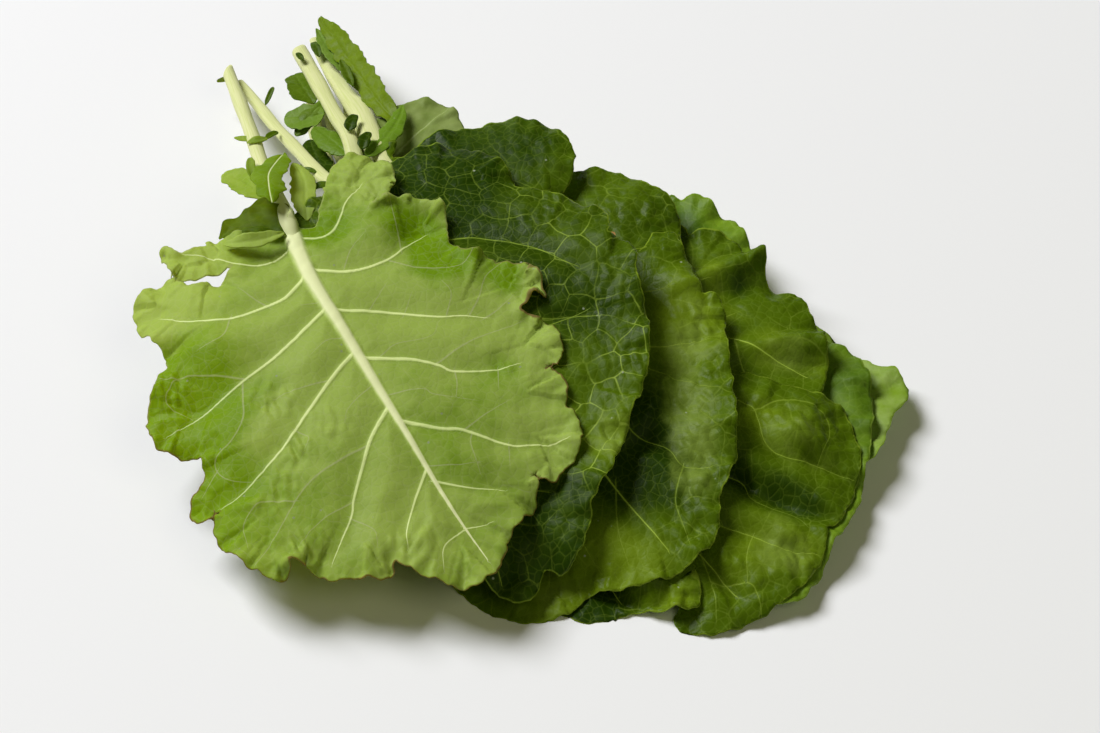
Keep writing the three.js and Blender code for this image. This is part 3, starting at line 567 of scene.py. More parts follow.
def lobe_chain(chain):
    """The outline: one quadratic arc from notch over crest to notch, for each pair in the chain."""
    points = []
    for i in range(0, len(chain), 2):
        a, b, c = (np.array(chain[(i + k) % len(chain)], float) for k in range(3))
        pull = 2 * b - (a + c) / 2
        count = max(3, int((np.linalg.norm(b - a) + np.linalg.norm(c - b)) / OUTLINE_STEP))
        t = np.linspace(0, 1, count, endpoint=False)[:, None]
        points.append((1 - t) ** 2 * a + 2 * t * (1 - t) * pull + t ** 2 * c)
    return np.vstack(points)


def resample(points, step, closed):
    """Even steps along a path."""
    loop = np.vstack([points, points[:1]]) if closed else np.asarray(points, float)
    run = np.concatenate([[0], np.cumsum(np.linalg.norm(np.diff(loop, axis=0), axis=1))])
    count = max(2, int(round(run[-1] / step)) + (0 if closed else 1))
    at = np.linspace(0, run[-1], count, endpoint=not closed)
    return np.stack([np.interp(at, run, loop[:, k]) for k in range(loop.shape[1])], axis=1)


def smooth_path(points, step=2.0):
    """A Catmull-Rom curve through a few points, in even steps."""
    p = np.asarray(points, float)
    p = np.vstack([2 * p[0] - p[1], p, 2 * p[-1] - p[-2]])
    out = []
    for i in range(1, len(p) - 2):
        t = np.linspace(0, 1, 16, endpoint=False)[:, None]
        out.append(0.5 * (2 * p[i] + (p[i + 1] - p[i - 1]) * t
                          + (2 * p[i - 1] - 5 * p[i] + 4 * p[i + 1] - p[i + 2]) * t ** 2
                          + (3 * p[i] - p[i - 1] - 3 * p[i + 1] + p[i + 2]) * t ** 3))
    out.append(p[-2:-1])
    return resample(np.vstack(out), step, closed=False)


def toothed(outline, rng, size):
    """Small irregular teeth along the margin."""
    ahead = unit(np.roll(outline, -1, axis=0) - np.roll(outline, 1, axis=0))
    outward = np.stack([-ahead[:, 1], ahead[:, 0]], axis=1)
    if np.sum(cross2(outline, np.roll(outline, -1, axis=0))) > 0:
        outward = -outward
    turn = np.arange(len(outline)) / len(outline) * 2 * np.pi
    wave = np.zeros(len(outline))
    total = len(outline) * OUTLINE_STEP
    for length, share in TOOTH_WAVES:
        count = round(total / length)
        wave += share * np.sin(count * turn + rng.uniform(0, 2 * np.pi)
                               + 1.5 * np.sin(3 * turn + rng.uniform(0, 2 * np.pi)))
    return outline + outward * (size * wave)[:, None]


def nearest_index(points, s, w):
    """The number of the point of a set that is nearest to each place."""
    tree = KDTree(len(points))
    for i, (a, b) in enumerate(points):
        tree.insert((a, b, 0), i)
    tree.balance()
    return np.fromiter((tree.find((a, b, 0))[1] for a, b in zip(s, w)), int, len(s))


class Margin:
    """The outline of a blade, read as a distance field."""

    SURE = 1.2  # past this distance inside() tells the side, not a segment

    def __init__(self, outline):
        self.points = outline
        self.ahead = np.roll(outline, -1, axis=0) - outline
        turning = np.sum(cross2(outline, np.roll(outline, -1, axis=0)))
        self.out = unit(np.stack([self.ahead[:, 1], -self.ahead[:, 0]], axis=1)) * np.sign(turning)
        self.corner = self.out + np.roll(self.out, 1, axis=0)
        self.coarse = outline[::3]

    def inside(self, s, w):
        """Even-odd test against every third point of the outline."""
        hit = np.zeros(s.shape, bool)
        for (s0, w0), (s1, w1) in zip(self.coarse, np.roll(self.coarse, -1, axis=0)):
            if w0 != w1:
                hit ^= ((w0 > w) != (w1 > w)) & (s < (s1 - s0) * (w - w0) / (w1 - w0) + s0)
        return hit

    def read(self, s, w):
        """Distance to the margin (negative outside), turn around the blade, nearest margin point."""
        n = len(self.points)
        index = nearest_index(self.points, s, w)
        here = np.stack([s, w], axis=1)
        best = np.full(len(s), 1e9)
        edge = np.zeros(len(s))
        nearest = self.points[index].copy()
        for step in (-1, 0):
            k = (index + step) % n
            start, ahead = self.points[k], self.ahead[k]
            t = np.clip(((here - start) * ahead).sum(1) / np.maximum((ahead ** 2).sum(1), 1e-12), 0, 1)
            touch = start + ahead * t[:, None]
            away = here - touch
            d = np.linalg.norm(away, axis=1)
            out = np.where((t < 1)[:, None], self.out[k], self.corner[(k + 1) % n])
            out = np.where((t > 0)[:, None], out, self.corner[k])
            closer = d < best
            best = np.where(closer, d, best)
            edge = np.where(closer, np.where((away * out).sum(1) > 0, -d, d), edge)
            nearest[closer] = touch[closer]
        far = best > self.SURE
        edge[far] = np.where(self.inside(s[far], w[far]), best[far], -best[far])
        return edge, index / n * 2 * np.pi, nearest


def between(grid, i, j, fu, fv):
    """The value of a grid at the shares fu and fv of the way from i, j to the next row and column."""
    return ((grid[i, j] * (1 - fu) + grid[i + 1, j] * fu) * (1 - fv)
            + (grid[i, j + 1] * (1 - fu) + grid[i + 1, j + 1] * fu) * fv)


def soft_noise(s, w, pitch, seed):
    """Smooth noise from -1 to 1 with hills about pitch apart."""
    grid = np.random.default_rng(seed).uniform(-1, 1, (NOISE_CELLS + 1, NOISE_CELLS + 1))
    u, v = s / pitch + 31.5, w / pitch + 41.5
    i, j = np.floor(u).astype(int), np.floor(v).astype(int)
    fu, fv = u - i, v - j
    fu, fv = fu * fu * (3 - 2 * fu), fv * fv * (3 - 2 * fv)
    return between(grid, i % NOISE_CELLS, j % NOISE_CELLS, fu, fv)


def line_distance(line, s, w):
    """Distance to a straight line between two points, and the share of it at the nearest point."""
    s0, w0, s1, w1 = line
    ds, dw = s1 - s0, w1 - w0
    share = np.clip(((s - s0) * ds + (w - w0) * dw) / (ds * ds + dw * dw), 0, 1)
    return np.hypot(s - s0 - share * ds, w - w0 - share * dw), share


def to_plan(leaf, s, w):
    """From a leaf's flat frame to the plan of the bunch."""
    turn = math.radians(leaf["heading"])
    x = leaf["base"][0] + s * math.cos(turn) - w * math.sin(turn)
    y = leaf["base"][1] + s * math.sin(turn) + w * math.cos(turn)
    return x, y


def to_leaf(leaf, x, y):
    """From the plan of the bunch to a leaf's flat frame."""
    turn = math.radians(leaf["heading"])
    dx, dy = x - leaf["base"][0], y - leaf["base"][1]
    return dx * math.cos(turn) + dy * math.sin(turn), dy * math.cos(turn) - dx * math.sin(turn)


# --- Veins ---
def grown_veins(leaf, margin, rng):
    """Side veins at even steps up the midrib, each curving on towards the tip until near the margin."""
    veins = []
    length = leaf["length"]
    count = max(3, round(length / GROWN_EVERY))
    for side in (1, -1):
        for i in range(count):
            start = length * (0.06 + 0.80 * (i + 0.5 + 0.22 * side) / count) + rng.uniform(-3, 3)
            angle = math.radians(70 - 26 * i / count + rng.uniform(-5, 5))
            point = np.array([start, 0.0])
            path = [point]
            bend = rng.uniform(-1.2, 0.6)
            while len(path) < 40:
                point = point + GROWN_STRIDE * np.array([math.cos(angle), side * math.sin(angle)])
                if margin.read(point[:1], point[1:])[0][0] < GROWN_CLEAR:
                    break
                path.append(point)
                angle += math.radians(bend + rng.uniform(-9, 9))
            if len(path) > 3:
                veins.append(path)
    return veins


def vein_set(leaf, margin, rng):
    """The midrib and side veins as even paths, with half-widths at both ends and a group for each."""
    length = leaf["length"]
    rib = leaf["radius"] if leaf["underside"] else leaf["radius"] * UPPER_RIB
    midrib = leaf["midrib"] or [(-12, 0), (0, 0), (length * 0.3, rng.uniform(-2, 2)),
                                (length * 0.62, rng.uniform(-2, 2)), (length * 0.94, 0)]
    rows = leaf["veins"] or [(1 + i % 2, GROWN_WIDE, GROWN_NARROW, points)
                             for i, points in enumerate(grown_veins(leaf, margin, rng))]
    return [dict(group=group, wide=wide, narrow=narrow, path=smooth_path(points, VEIN_STEP))
            for group, wide, narrow, points in [(0, rib, RIB_TIP, midrib), *rows]]


def half_width(vein):
    """A vein's half-width at each point of its path; the midrib tapers evenly, the others stay stouter."""
    share = np.linspace(1, 0, len(vein["path"])) ** (0.8 if vein["group"] else 1.0)
    least = 0.4 * vein["narrow"]
    return least + (vein["wide"] - least) * share


def vein_fields(veins, s, w):
    """Per group: signed distance in half-widths. Over all: distance to any main vein, ridge height."""
    groups = np.full((VEIN_GROUPS, len(s)), FAR)
    main = np.full(len(s), 1e3)
    ridge = np.zeros(len(s))
    for number in range(VEIN_GROUPS):
        members = [v for v in veins if v["group"] == number]
        if not members:
            continue
        points = np.vstack([v["path"] for v in members])
        ahead = unit(np.vstack([np.gradient(v["path"], axis=0) for v in members]))
        index = nearest_index(points, s, w)
        half = np.concatenate([half_width(v) for v in members])[index]
        away = np.stack([s, w], axis=1) - points[index]
        side = cross2(ahead[index], away)
        past = np.maximum(0, np.abs((ahead[index] * away).sum(1)) - 0.6)
        d = np.hypot(side, past)
        far = d + 10 * np.maximum(0, d - VEIN_NEAR - 1.5 * half) ** 2
        groups[number] = np.clip(far / half, 0, 4000) * np.where(side < 0, -1, 1)
        if number < 2:
            main = np.minimum(main, d)
        ridge = np.maximum(ridge, half * np.sqrt(np.clip(1 - (d / (1.2 * half)) ** 2, 0, 1)))
    return groups, main, ridge


class Net:
    """The net of small veins: the borders of cells around seeds that are set in pairs beside each vein."""

    BATCH = 20000  # places read at once

    def __init__(self, pitch, margin, veins, seed):
        rng = np.random.default_rng(seed)
        self.phase = rng.uniform(0, 2 * np.pi, 4)
        seeds = []
        for vein in veins:
            if len(vein["path"]) > 8:
                self.pair_seeds(seeds, vein["path"], pitch, rng)
        low, high = margin.points.min(0), margin.points.max(0)
        tries = rng.uniform(low - NET_BEYOND, high + NET_BEYOND, (NET_TRIES, 2))
        inner = margin.read(tries[:, 0], tries[:, 1])[0] > -NET_BEYOND
        for place in tries[inner]:
            if self.clearance(seeds, place) > rng.uniform(0.55, 0.95) * pitch:
                seeds.append(place)
        self.seeds = np.array(seeds)
        self.colour_cells(margin)

    def pair_seeds(self, seeds, path, pitch, rng):
        """Seeds at both sides of a vein, so that the border between them follows it."""
        ahead = unit(np.gradient(path, axis=0))
        at = rng.uniform(0.2, 0.8) * pitch
        while at < len(path) - 1:
            middle, way = np.array(self.bend(*path[int(at)])), ahead[int(at)]
            off = pitch * rng.uniform(0.36, 0.52) * np.array([-way[1], way[0]])
            pair = [middle + off, middle - off]
            if not seeds or min(self.clearance(seeds, place) for place in pair) > 0.6 * pitch:
                seeds += pair
            at += pitch * rng.uniform(0.75, 1.15)

    @staticmethod
    def clearance(seeds, place):
        return np.linalg.norm(np.array(seeds) - place, axis=1).min()

    def bend(self, s, w):
        """Shifts places in small waves, so that the borders of the cells aren't straight."""
        one, two, three, four = self.phase
        return (s + 1.6 * np.sin(w / 6.5 + one) + 0.9 * np.sin(s / 3.7 + w / 5 + two),
                w + 1.6 * np.sin(s / 7.0 + three) + 0.9 * np.sin(w / 3.9 - s / 6 + four))

    def distances(self, s, w):
        """The square of the distance from each place to each seed."""
        here = np.stack([s, w], axis=1)
        return ((here ** 2).sum(1)[:, None] + (self.seeds ** 2).sum(1)[None] - 2 * here @ self.seeds.T)

    def colour_cells(self, margin):
        """Gives neighbouring cells different numbers from 0 to 7, so that three signs tell them apart."""
        low, high = margin.points.min(0), margin.points.max(0)
        gs, gw = np.meshgrid(np.arange(low[0], high[0], 1.0), np.arange(low[1], high[1], 1.0))
        two = np.argpartition(self.distances(gs.ravel(), gw.ravel()), 1, axis=1)[:, :2]
        pairs = set(map(tuple, np.sort(two, axis=1)))
        beside = {i: set() for i in range(len(self.seeds))}
        for a, b in pairs:
            beside[a].add(b)
            beside[b].add(a)
        left = {i: set(n) for i, n in beside.items()}
        order = []
        while left:
            i = min(left, key=lambda k: len(left[k]))
            order.append(i)
            for k in left.pop(i):
                left[k].discard(i)
        self.colour = np.full(len(self.seeds), -1)
        for i in reversed(order):
            taken = {self.colour[k] for k in beside[i]}
            self.colour[i] = next((c for c in range(8) if c not in taken), 0)

    def read(self, s, w):
        """Three signed distances; a border of a cell is wherever any of them is zero."""
        s, w = self.bend(s, w)
        fields = np.empty((3, len(s)))
        for start in range(0, len(s), self.BATCH):
            part = slice(start, start + self.BATCH)
            far = self.distances(s[part], w[part])
            for bit in range(3):
                one = (self.colour >> bit) & 1 == 1
                a, b = np.where(~one)[0], np.where(one)[0]
                if len(a) == 0 or len(b) == 0:
                    fields[bit, part] = 20
                    continue
                i, j = a[far[:, a].argmin(1)], b[far[:, b].argmin(1)]
                rows = np.arange(len(far))
                apart = np.linalg.norm(self.seeds[i] - self.seeds[j], axis=1)
                fields[bit, part] = (far[rows, j] - far[rows, i]) / (2 * apart)
        return fields


# --- Heights ---
def own_height(leaf, s, w, edge, turn, main):
    """The blade's own shape: bends, folds, the puffs between its veins and the ruffles of its margin."""
    base, middle, tip, left, right = leaf["heights"]
    t = np.clip(s / leaf["length"], -0.5, 1.15)
    z = base * (1 - t) * (1 - 2 * t) + middle * 4 * t * (1 - t) + tip * t * (2 * t - 1)
    z = np.where(t < 0, base, z)
    side = np.minimum(1.3, np.abs(w) / leaf["half_width"])
    z = z + np.where(w > 0, left, right) * side ** 2
    for *top, reach, rise in leaf["bends"]:
        z = z + rise * hill(s, w, *top, reach)
    for *line, reach, rise in leaf["folds"]:
        d, share = line_distance(line, s, w)
        z = z + rise * np.exp(-(d / reach) ** 2) * (0.35 + 0.65 * share)
    inward = np.maximum(edge, 0)
    for *top, spread, reach, rise in leaf["brims"]:
        z = z + rise * hill(s, w, *top, spread) * np.exp(-(inward / reach) ** 1.4)
    bulge = 1 - np.exp(-(main / leaf["puff_reach"]) ** 2)
    z = z + leaf["puff"] * bulge * np.clip(inward / PUFF_FADE, 0, 1)
    swing, length = leaf["ruffle"]
    wave = np.zeros_like(z)
    for (part, stretch), phase in zip(RUFFLE_WAVES, leaf["phase"]):
        count = round(leaf["around"] / (length * stretch))
        wave += part * np.sin(count * turn + phase + 0.8 * np.sin(2 * turn + phase))
    z = z + swing * wave * np.exp(-inward / RUFFLE_FADE)
    seed = leaf["seed"]
    for *top, reach, rise in leaf["crumples"]:
        rough = soft_noise(s + 0.4 * w, 2 * w, CRUMPLE_PITCH, seed + 4)
        z = z + rise * hill(s, w, *top, reach) * rough
    z = z + leaf["roll"] * soft_noise(s, w, ROLL_PITCH, seed)
    near = np.exp(-inward / ROUGH_FADE)
    return (z + leaf["crinkle"] * soft_noise(s, w, CRINKLE_PITCH, seed + 1) * (0.25 + near)
            + leaf["grain"] * soft_noise(s + 0.3 * w, w, GRAIN_PITCH, seed + 5) * (0.3 + near))


def beside(field):
    """The sum of the four cells around each cell."""
    return np.roll(field, 1, 0) + np.roll(field, -1, 0) + np.roll(field, 1, 1) + np.roll(field, -1, 1)


def settle(need):
    """Lifts a blade where something lies below, and eases that lift out around the place."""
    lift = need.copy()
    for _ in range(SETTLE_ROUNDS):
        lift = np.maximum(need, beside(lift) / 4 * SETTLE_KEEP)
    for _ in range(SETTLE_BLUR):
        lift = (lift + beside(lift)) / 5
    return np.maximum(need, lift)


def sample(field, x, y):
    """Bilinear reading of a raster field."""
    u = np.clip((x - RASTER_LOW[0]) / RASTER, 0, RASTER_SIZE[0] - 1.001)
    v = np.clip((y - RASTER_LOW[1]) / RASTER, 0, RASTER_SIZE[1] - 1.001)
    i, j = u.astype(int), v.astype(int)
    return between(field, i, j, u - i, v - j)


def stack_leaf(leaf, margin, veins, covered):
    """Finds how far this leaf is lifted by what lies below it, and adds it to what is covered."""
    gx, gy = np.meshgrid(RASTER_X, RASTER_Y, indexing="ij")
    s, w = to_leaf(leaf, gx.ravel(), gy.ravel())
    low, high = margin.points.min(0) - 2 * LIFT_BEYOND, margin.points.max(0) + 2 * LIFT_BEYOND
    near = (s > low[0]) & (s < high[0]) & (w > low[1]) & (w < high[1])
    edge, turn, _ = margin.read(s[near], w[near])
    _, main, ridge = vein_fields(veins, s[near], w[near])
    own = np.zeros(RASTER_SIZE).ravel()
    own[near] = own_height(leaf, s[near], w[near], edge, turn, main)
    depth = np.zeros(len(own))
    if not leaf["underside"]:
        depth[near] = ridge * RIB_ROOM
    footprint = np.zeros(len(own), bool)
    footprint[near] = edge > -LIFT_BEYOND
    own, depth, footprint = (field.reshape(RASTER_SIZE) for field in (own, depth, footprint))
    need = np.where(footprint, np.maximum(0, covered + depth + LEAF_GAP * (covered > 0) - own), 0)
    lift = settle(need)
    covered = np.where(footprint, np.maximum(covered, own + lift + BLADE_THICKNESS), covered)
    return lift, covered


# --- Meshes ---
def compact(points, faces):
    """Only the points that the faces use, and the faces with their new numbers."""
    used = np.unique(faces)
    number = np.full(len(points), -1)
    number[used] = np.arange(len(used))
    return points[used], number[faces]


def blade_lattice(margin, spacing):
    """A triangle lattice fitted to the outline: points near it are moved onto it."""
    low, high = margin.points.min(0) - spacing, margin.points.max(0) + spacing
    row = spacing * math.sqrt(3) / 2
    ns, nw = int((high[0] - low[0]) / spacing) + 2, int((high[1] - low[1]) / row) + 2
    i, j = np.meshgrid(np.arange(ns), np.arange(nw), indexing="ij")
    s = (low[0] + (i + 0.5 * (j % 2)) * spacing).ravel()
    w = (low[1] + j * row).ravel()
    a = (i * nw + j)[:-1, :-1]
    b, c, d = a + nw, a + 1, a + nw + 1
    odd = (j % 2 == 1)[:-1, :-1]
    faces = np.concatenate([
        np.stack([a, b, c], -1)[~odd], np.stack([b, d, c], -1)[~odd],
        np.stack([a, b, d], -1)[odd], np.stack([a, d, c], -1)[odd]])
    signed, _, nearest = margin.read(s, w)
    close = np.abs(signed) < LATTICE_SNAP * spacing
    keep = signed > -LATTICE_SNAP * spacing
    faces = faces[keep[faces].all(1)]
    border = border_points(faces, len(s))
    moved = (close & np.isin(np.arange(len(s)), faces)) | border
    points, faces = compact(np.where(moved[:, None], nearest, np.stack([s, w], axis=1)), faces)
    a, b, c = (points[faces[:, k]] for k in range(3))
    return compact(points, faces[cross2(b - a, c - a) > SLIVER * spacing ** 2])


def border_edges(faces):
    """The edges that only one face has, in that face's direction."""
    edges = np.concatenate([faces[:, [0, 1]], faces[:, [1, 2]], faces[:, [2, 0]]])
    size = int(faces.max()) + 1
    key = np.minimum(edges[:, 0], edges[:, 1]) * size + np.maximum(edges[:, 0], edges[:, 1])
    _, first, count = np.unique(key, return_index=True, return_counts=True)
    return edges[first[count == 1]]


def border_points(faces, total):
    mask = np.zeros(total, bool)
    mask[border_edges(faces).ravel()] = True
    return mask


def surface_normals(points, faces):
    """The normal at each point, from the faces around it by their areas."""
    a, b, c = (points[faces[:, k]] for k in range(3))
    cross = np.cross(b - a, c - a)
    normal = np.zeros_like(points)
    for k in range(3):
        np.add.at(normal, faces[:, k], cross)
    return unit(normal)


class Body:
    """The vertices, faces and named fields of one leaf, gathered part by part."""

    FIELDS = ("edge", "vein0", "vein1", "vein2", "vein3", "net0", "net1", "net2", "upper", "stalk", "cut",
              "bloom", "fresh", "netting", "rust", "scar")

    PLAIN = dict(upper=0.0, stalk=0.0, cut=0.0, bloom=0.5, fresh=0.5, netting=0.0, rust=0.0, scar=0.0)

    def __init__(self):
        self.points, self.faces, self.size = [], [], 0
        self.fields = {name: [] for name in self.FIELDS}
        self.net = []

    def add(self, points, faces, net, **fields):
        """Adds a part. net is its place in a flat frame; a field that isn't given has its plain value."""
        self.points.append(points)
        self.faces.append(np.asarray(faces) + self.size)
        self.size += len(points)
        for name in self.FIELDS:
            value = fields.get(name, self.PLAIN.get(name, FAR))
            self.fields[name].append(np.broadcast_to(np.asarray(value, float), (len(points),)))
        self.net.append(net)

    def make(self, name):
        """The leaf as one object, in metres of the frame, with nothing below the table."""
        points = np.vstack(self.points)
        points[:, 2] = np.maximum(points[:, 2], TABLE_GAP)
        points[:, :2] -= MIDDLE
        points *= MM
        faces = np.vstack(self.faces)
        mesh = bpy.data.meshes.new(name)
        mesh.vertices.add(len(points))
        mesh.vertices.foreach_set("co", points.astype(np.float32).ravel())
        mesh.loops.add(faces.size)
        mesh.loops.foreach_set("vertex_index", faces.astype(np.int32).ravel())
        mesh.polygons.add(len(faces))
        mesh.polygons.foreach_set("loop_start", np.arange(0, faces.size, 3, dtype=np.int32))
        mesh.update(calc_edges=True)
        mesh.polygons.foreach_set("use_smooth", np.ones(len(faces), bool))
        for field in self.FIELDS:
            layer = mesh.attributes.new(field, "FLOAT", "POINT")
            layer.data.foreach_set("value", np.concatenate(self.fields[field]).astype(np.float32))
        layer = mesh.attributes.new("net", "FLOAT_VECTOR", "POINT")
        layer.data.foreach_set("vector", np.vstack(self.net).astype(np.float32).ravel())
        piece = bpy.data.objects.new(name, mesh)
        bpy.context.scene.collection.objects.link(piece)
        return piece


def curled(leaf, s, w, z, edge, nearest):
    """Rolls parts of the margin up or over: past its hinge the blade follows a circle."""
    out = unit(nearest - np.stack([s, w], axis=1), 1e-6)
    shift = np.zeros((len(s), 2))
    for *top, spread, reach, radius in leaf["curls"]:
        weight = hill(nearest[:, 0], nearest[:, 1], *top, spread)
        run = np.maximum(reach - edge, 0)
        turn = np.minimum(run / abs(radius), 4.5) * weight
        size = abs(radius) / np.maximum(weight, 0.05)
        shift += out * (size * np.sin(turn) - np.where(turn > 0, run, 0) * (weight > 0.02))[:, None]
        z = z + math.copysign(1, radius) * size * (1 - np.cos(turn))
    return s + shift[:, 0], w + shift[:, 1], z


def patches(rows, level, s, w):
    """A soft-edged field from 0 to 1: level, with round patches that add to it or take from it."""
    value = np.full(len(s), float(level))
    for *top, reach, amount in rows:
        value += amount * hill(s, w, *top, reach)
    return np.clip(value, 0, 1)


def add_blade(body, leaf, margin, veins, lift):
    """The blade: its veins are ribs on its underside and shallow grooves on its upper side."""
    points, faces = blade_lattice(margin, leaf["spacing"] * DETAIL)
    s, w = points.T
    edge, turn, nearest = margin.read(s, w)
    edge = np.maximum(edge, 0)
    edge[border_points(faces, len(points))] = 0
    groups, main, ridge = vein_fields(veins, s, w)
    net = Net(leaf["cell"], margin, veins, leaf["seed"] + 2).read(s, w)
    x, y = to_plan(leaf, s, w)
    z = own_height(leaf, s, w, edge, turn, main) + sample(lift, x, y)
    border = np.abs(net).min(0)
    swell = leaf["swell"] * np.clip(0.6 + 0.9 * soft_noise(s, w, SWELL_PITCH, leaf["seed"] + 3), 0.1, 1.6)
    z += swell * np.clip(edge / 6, 0, 1) * (1 - np.exp(-(border / 4.0) ** 2))
    rolled_s, rolled_w, z = curled(leaf, s, w, z, edge, nearest)
    x, y = to_plan(leaf, rolled_s, rolled_w)
    thick = BLADE_THICKNESS / 2
    if leaf["underside"]:
        above, below, upper = thick + ridge * 0.75, thick - 0.15 * np.minimum(ridge, 1), 0.0
    else:
        above, below, upper = thick - 0.35 * np.minimum(ridge, 1.2), thick + ridge * 0.9, 1.0
    rust_low, rust_high = leaf["rust"]
    fields = dict(edge=edge, netting=np.full(len(s), leaf["netting"]),
                  # the wax patches also paint sheen and shade
                  bloom=patches(leaf["bloom"], leaf["wax"], s, w),
                  # the tone patches also paint shade and lit parts
                  fresh=patches(leaf["fresh"], FRESH_LEVEL, s, w),
                  scar=patches(leaf["scars"], 0, s, w),
                  rust=np.clip((s - rust_low) / (rust_high - rust_low), 0, 1))
    fields.update((f"vein{k}", group) for k, group in enumerate(groups))
    fields.update((f"net{k}", border) for k, border in enumerate(net))
    flat = np.stack([s, w, 0 * s], axis=1) + leaf["seed"]
    add_shell(body, np.stack([x, y, z], axis=1), faces, above, below, upper, flat, fields)


def add_shell(body, middle, faces, above, below, upper, flat, fields):
    """A thin closed solid around a surface. upper says which side is the leaf's own upper side."""
    normal = surface_normals(middle, faces)
    count = len(middle)
    points = np.vstack([middle + normal * np.reshape(above, (-1, 1)),
                        middle - normal * np.reshape(below, (-1, 1))])
    a, b = border_edges(faces).T
    sides = np.concatenate([np.stack([b, a, a + count], -1), np.stack([b, a + count, b + count], -1)])
    body.add(points, np.concatenate([faces, faces[:, ::-1] + count, sides]), net=np.vstack([flat, flat]),
             upper=np.repeat([upper, 1 - upper], count), **{k: np.tile(v, 2) for k, v in fields.items()})


def add_leaflet(body, leaf, number, rows, wave, upper=1, cup=0, quilt=0.15, ribbed=False,
                fresh=0.5, bloom=0.5):
    """A small blade beside a stalk. rows: x, y, z along its spine, both half-widths, its roll in degrees.

    wave and quilt: how uneven its margins and its face are. cup: how far its margins rise for their
    width. upper: how much of its upper side shows from above. ribbed: whether a midrib is drawn on it.
    """
    rows = smooth_path([(*row, 0)[:6] for row in rows], LEAFLET_SPACING * DETAIL)
    spine, roll = rows[:, :3], np.radians(rows[:, 5:])
    step = np.linalg.norm(np.diff(spine, axis=0), axis=1)
    run = np.concatenate([[0], np.cumsum(step)])[:, None]
    ahead = unit(np.gradient(spine, axis=0))
    level = unit(np.cross(ahead, [0, 0, 1.0]))
    across = level * np.cos(roll) + np.cross(level, ahead) * np.sin(roll)
    up = np.cross(across, ahead)
    columns = 2 * max(3, int(rows[:, 3:5].max() / (LEAFLET_SPACING * DETAIL))) + 1
    v = np.linspace(-1, 1, columns)[None]
    seed = leaf["seed"] + 10 + 3 * number
    share = run / run[-1]
    tip = 1 - (2 * np.maximum(share - 0.5, 0)) ** 4
    width = np.maximum(0.2, np.where(v < 0, rows[:, 3:4], rows[:, 4:5]))
    width = width * np.sqrt(np.clip(share / 0.2, 0.02, 1) * np.clip(tip, 0.02, 1))
    along, half = run + 0 * v, 9 * np.sign(v) + 0 * run
    width = width * (1 + 0.22 * soft_noise(along, half, 5.0, seed)
                     + 0.10 * soft_noise(along, half, 2.2, seed))
    w = v * width
    ripple = wave * np.abs(v) ** 2 * soft_noise(along, half, 6.0, seed + 1)
    puff = quilt * soft_noise(along, w, 3.4, seed + 2)
    rise = cup * width * v ** 2 + ripple + puff - 0.4 * np.exp(-(w / 0.8) ** 2)
    middle = spine[:, None] + across[:, None] * w[..., None] + up[:, None] * rise[..., None]
    n = len(rows)
    i, j = np.meshgrid(np.arange(n - 1), np.arange(columns - 1), indexing="ij")
    a = (i * columns + j).ravel()
    faces = np.concatenate([np.stack([a, a + 1, a + columns], -1),
                            np.stack([a + 1, a + columns + 1, a + columns], -1)])
    rib = np.full(w.shape, FAR)
    if ribbed:
        rib = np.clip(np.abs(w) / 0.35, 0.01, FAR) * np.where(w < 0, -1, 1)
    flat = np.stack([along.ravel(), w.ravel(), np.zeros(w.size)], axis=1) + seed
    fields = dict(vein0=rib.ravel(), fresh=np.full(w.size, fresh), bloom=np.full(w.size, bloom))
    thick = BLADE_THICKNESS / 2
    add_shell(body, middle.reshape(-1, 3), faces, thick, thick, upper, flat, fields)


def tube(path, radii, grooved, slant):
    """A closed round rod along a path of points, one radius each, flattened above by grooved.

    slant shears its first end along the rod, by so much for each step to the east and to the north.
    """
    ahead = unit(np.gradient(path, axis=0))
    across = unit(np.cross(ahead, [0, 0, 1.0]))
    up = np.cross(across, ahead)
    sides = STALK_SIDES
    turn = np.linspace(0, 2 * np.pi, sides, endpoint=False)
    shape = 1 - grooved * np.clip(np.sin(turn), 0, 1) ** 3
    rings = (path[:, None] + radii[:, None, None] * shape[None, :, None]
             * (np.cos(turn)[None, :, None] * across[:, None] + np.sin(turn)[None, :, None] * up[:, None]))
    run = np.linalg.norm(path - path[0], axis=1)
    fade = np.clip(1 - run / CUT_SLANT_REACH, 0, 1)[:, None]
    shear = ((rings - path[:, None])[..., :2] * slant).sum(-1) * fade
    rings = rings + shear[..., None] * ahead[:, None]
    n = len(path)
    points = np.vstack([rings.reshape(-1, 3), path[:1], path[-1:]])
    i, j = np.meshgrid(np.arange(n - 1), np.arange(sides), indexing="ij")
    a, b = i * sides + j, i * sides + (j + 1) % sides
    faces = np.concatenate([np.stack([a, b + sides, b], -1).reshape(-1, 3),
                            np.stack([a, a + sides, b + sides], -1).reshape(-1, 3)])
    here = np.arange(sides)
    beyond = (here + 1) % sides
    centre = np.full(sides, n * sides)
    first = np.stack([centre, here, beyond], -1)
    last = np.stack([centre + 1, (n - 1) * sides + beyond, (n - 1) * sides + here], -1)
    return points, np.concatenate([faces, first, last])


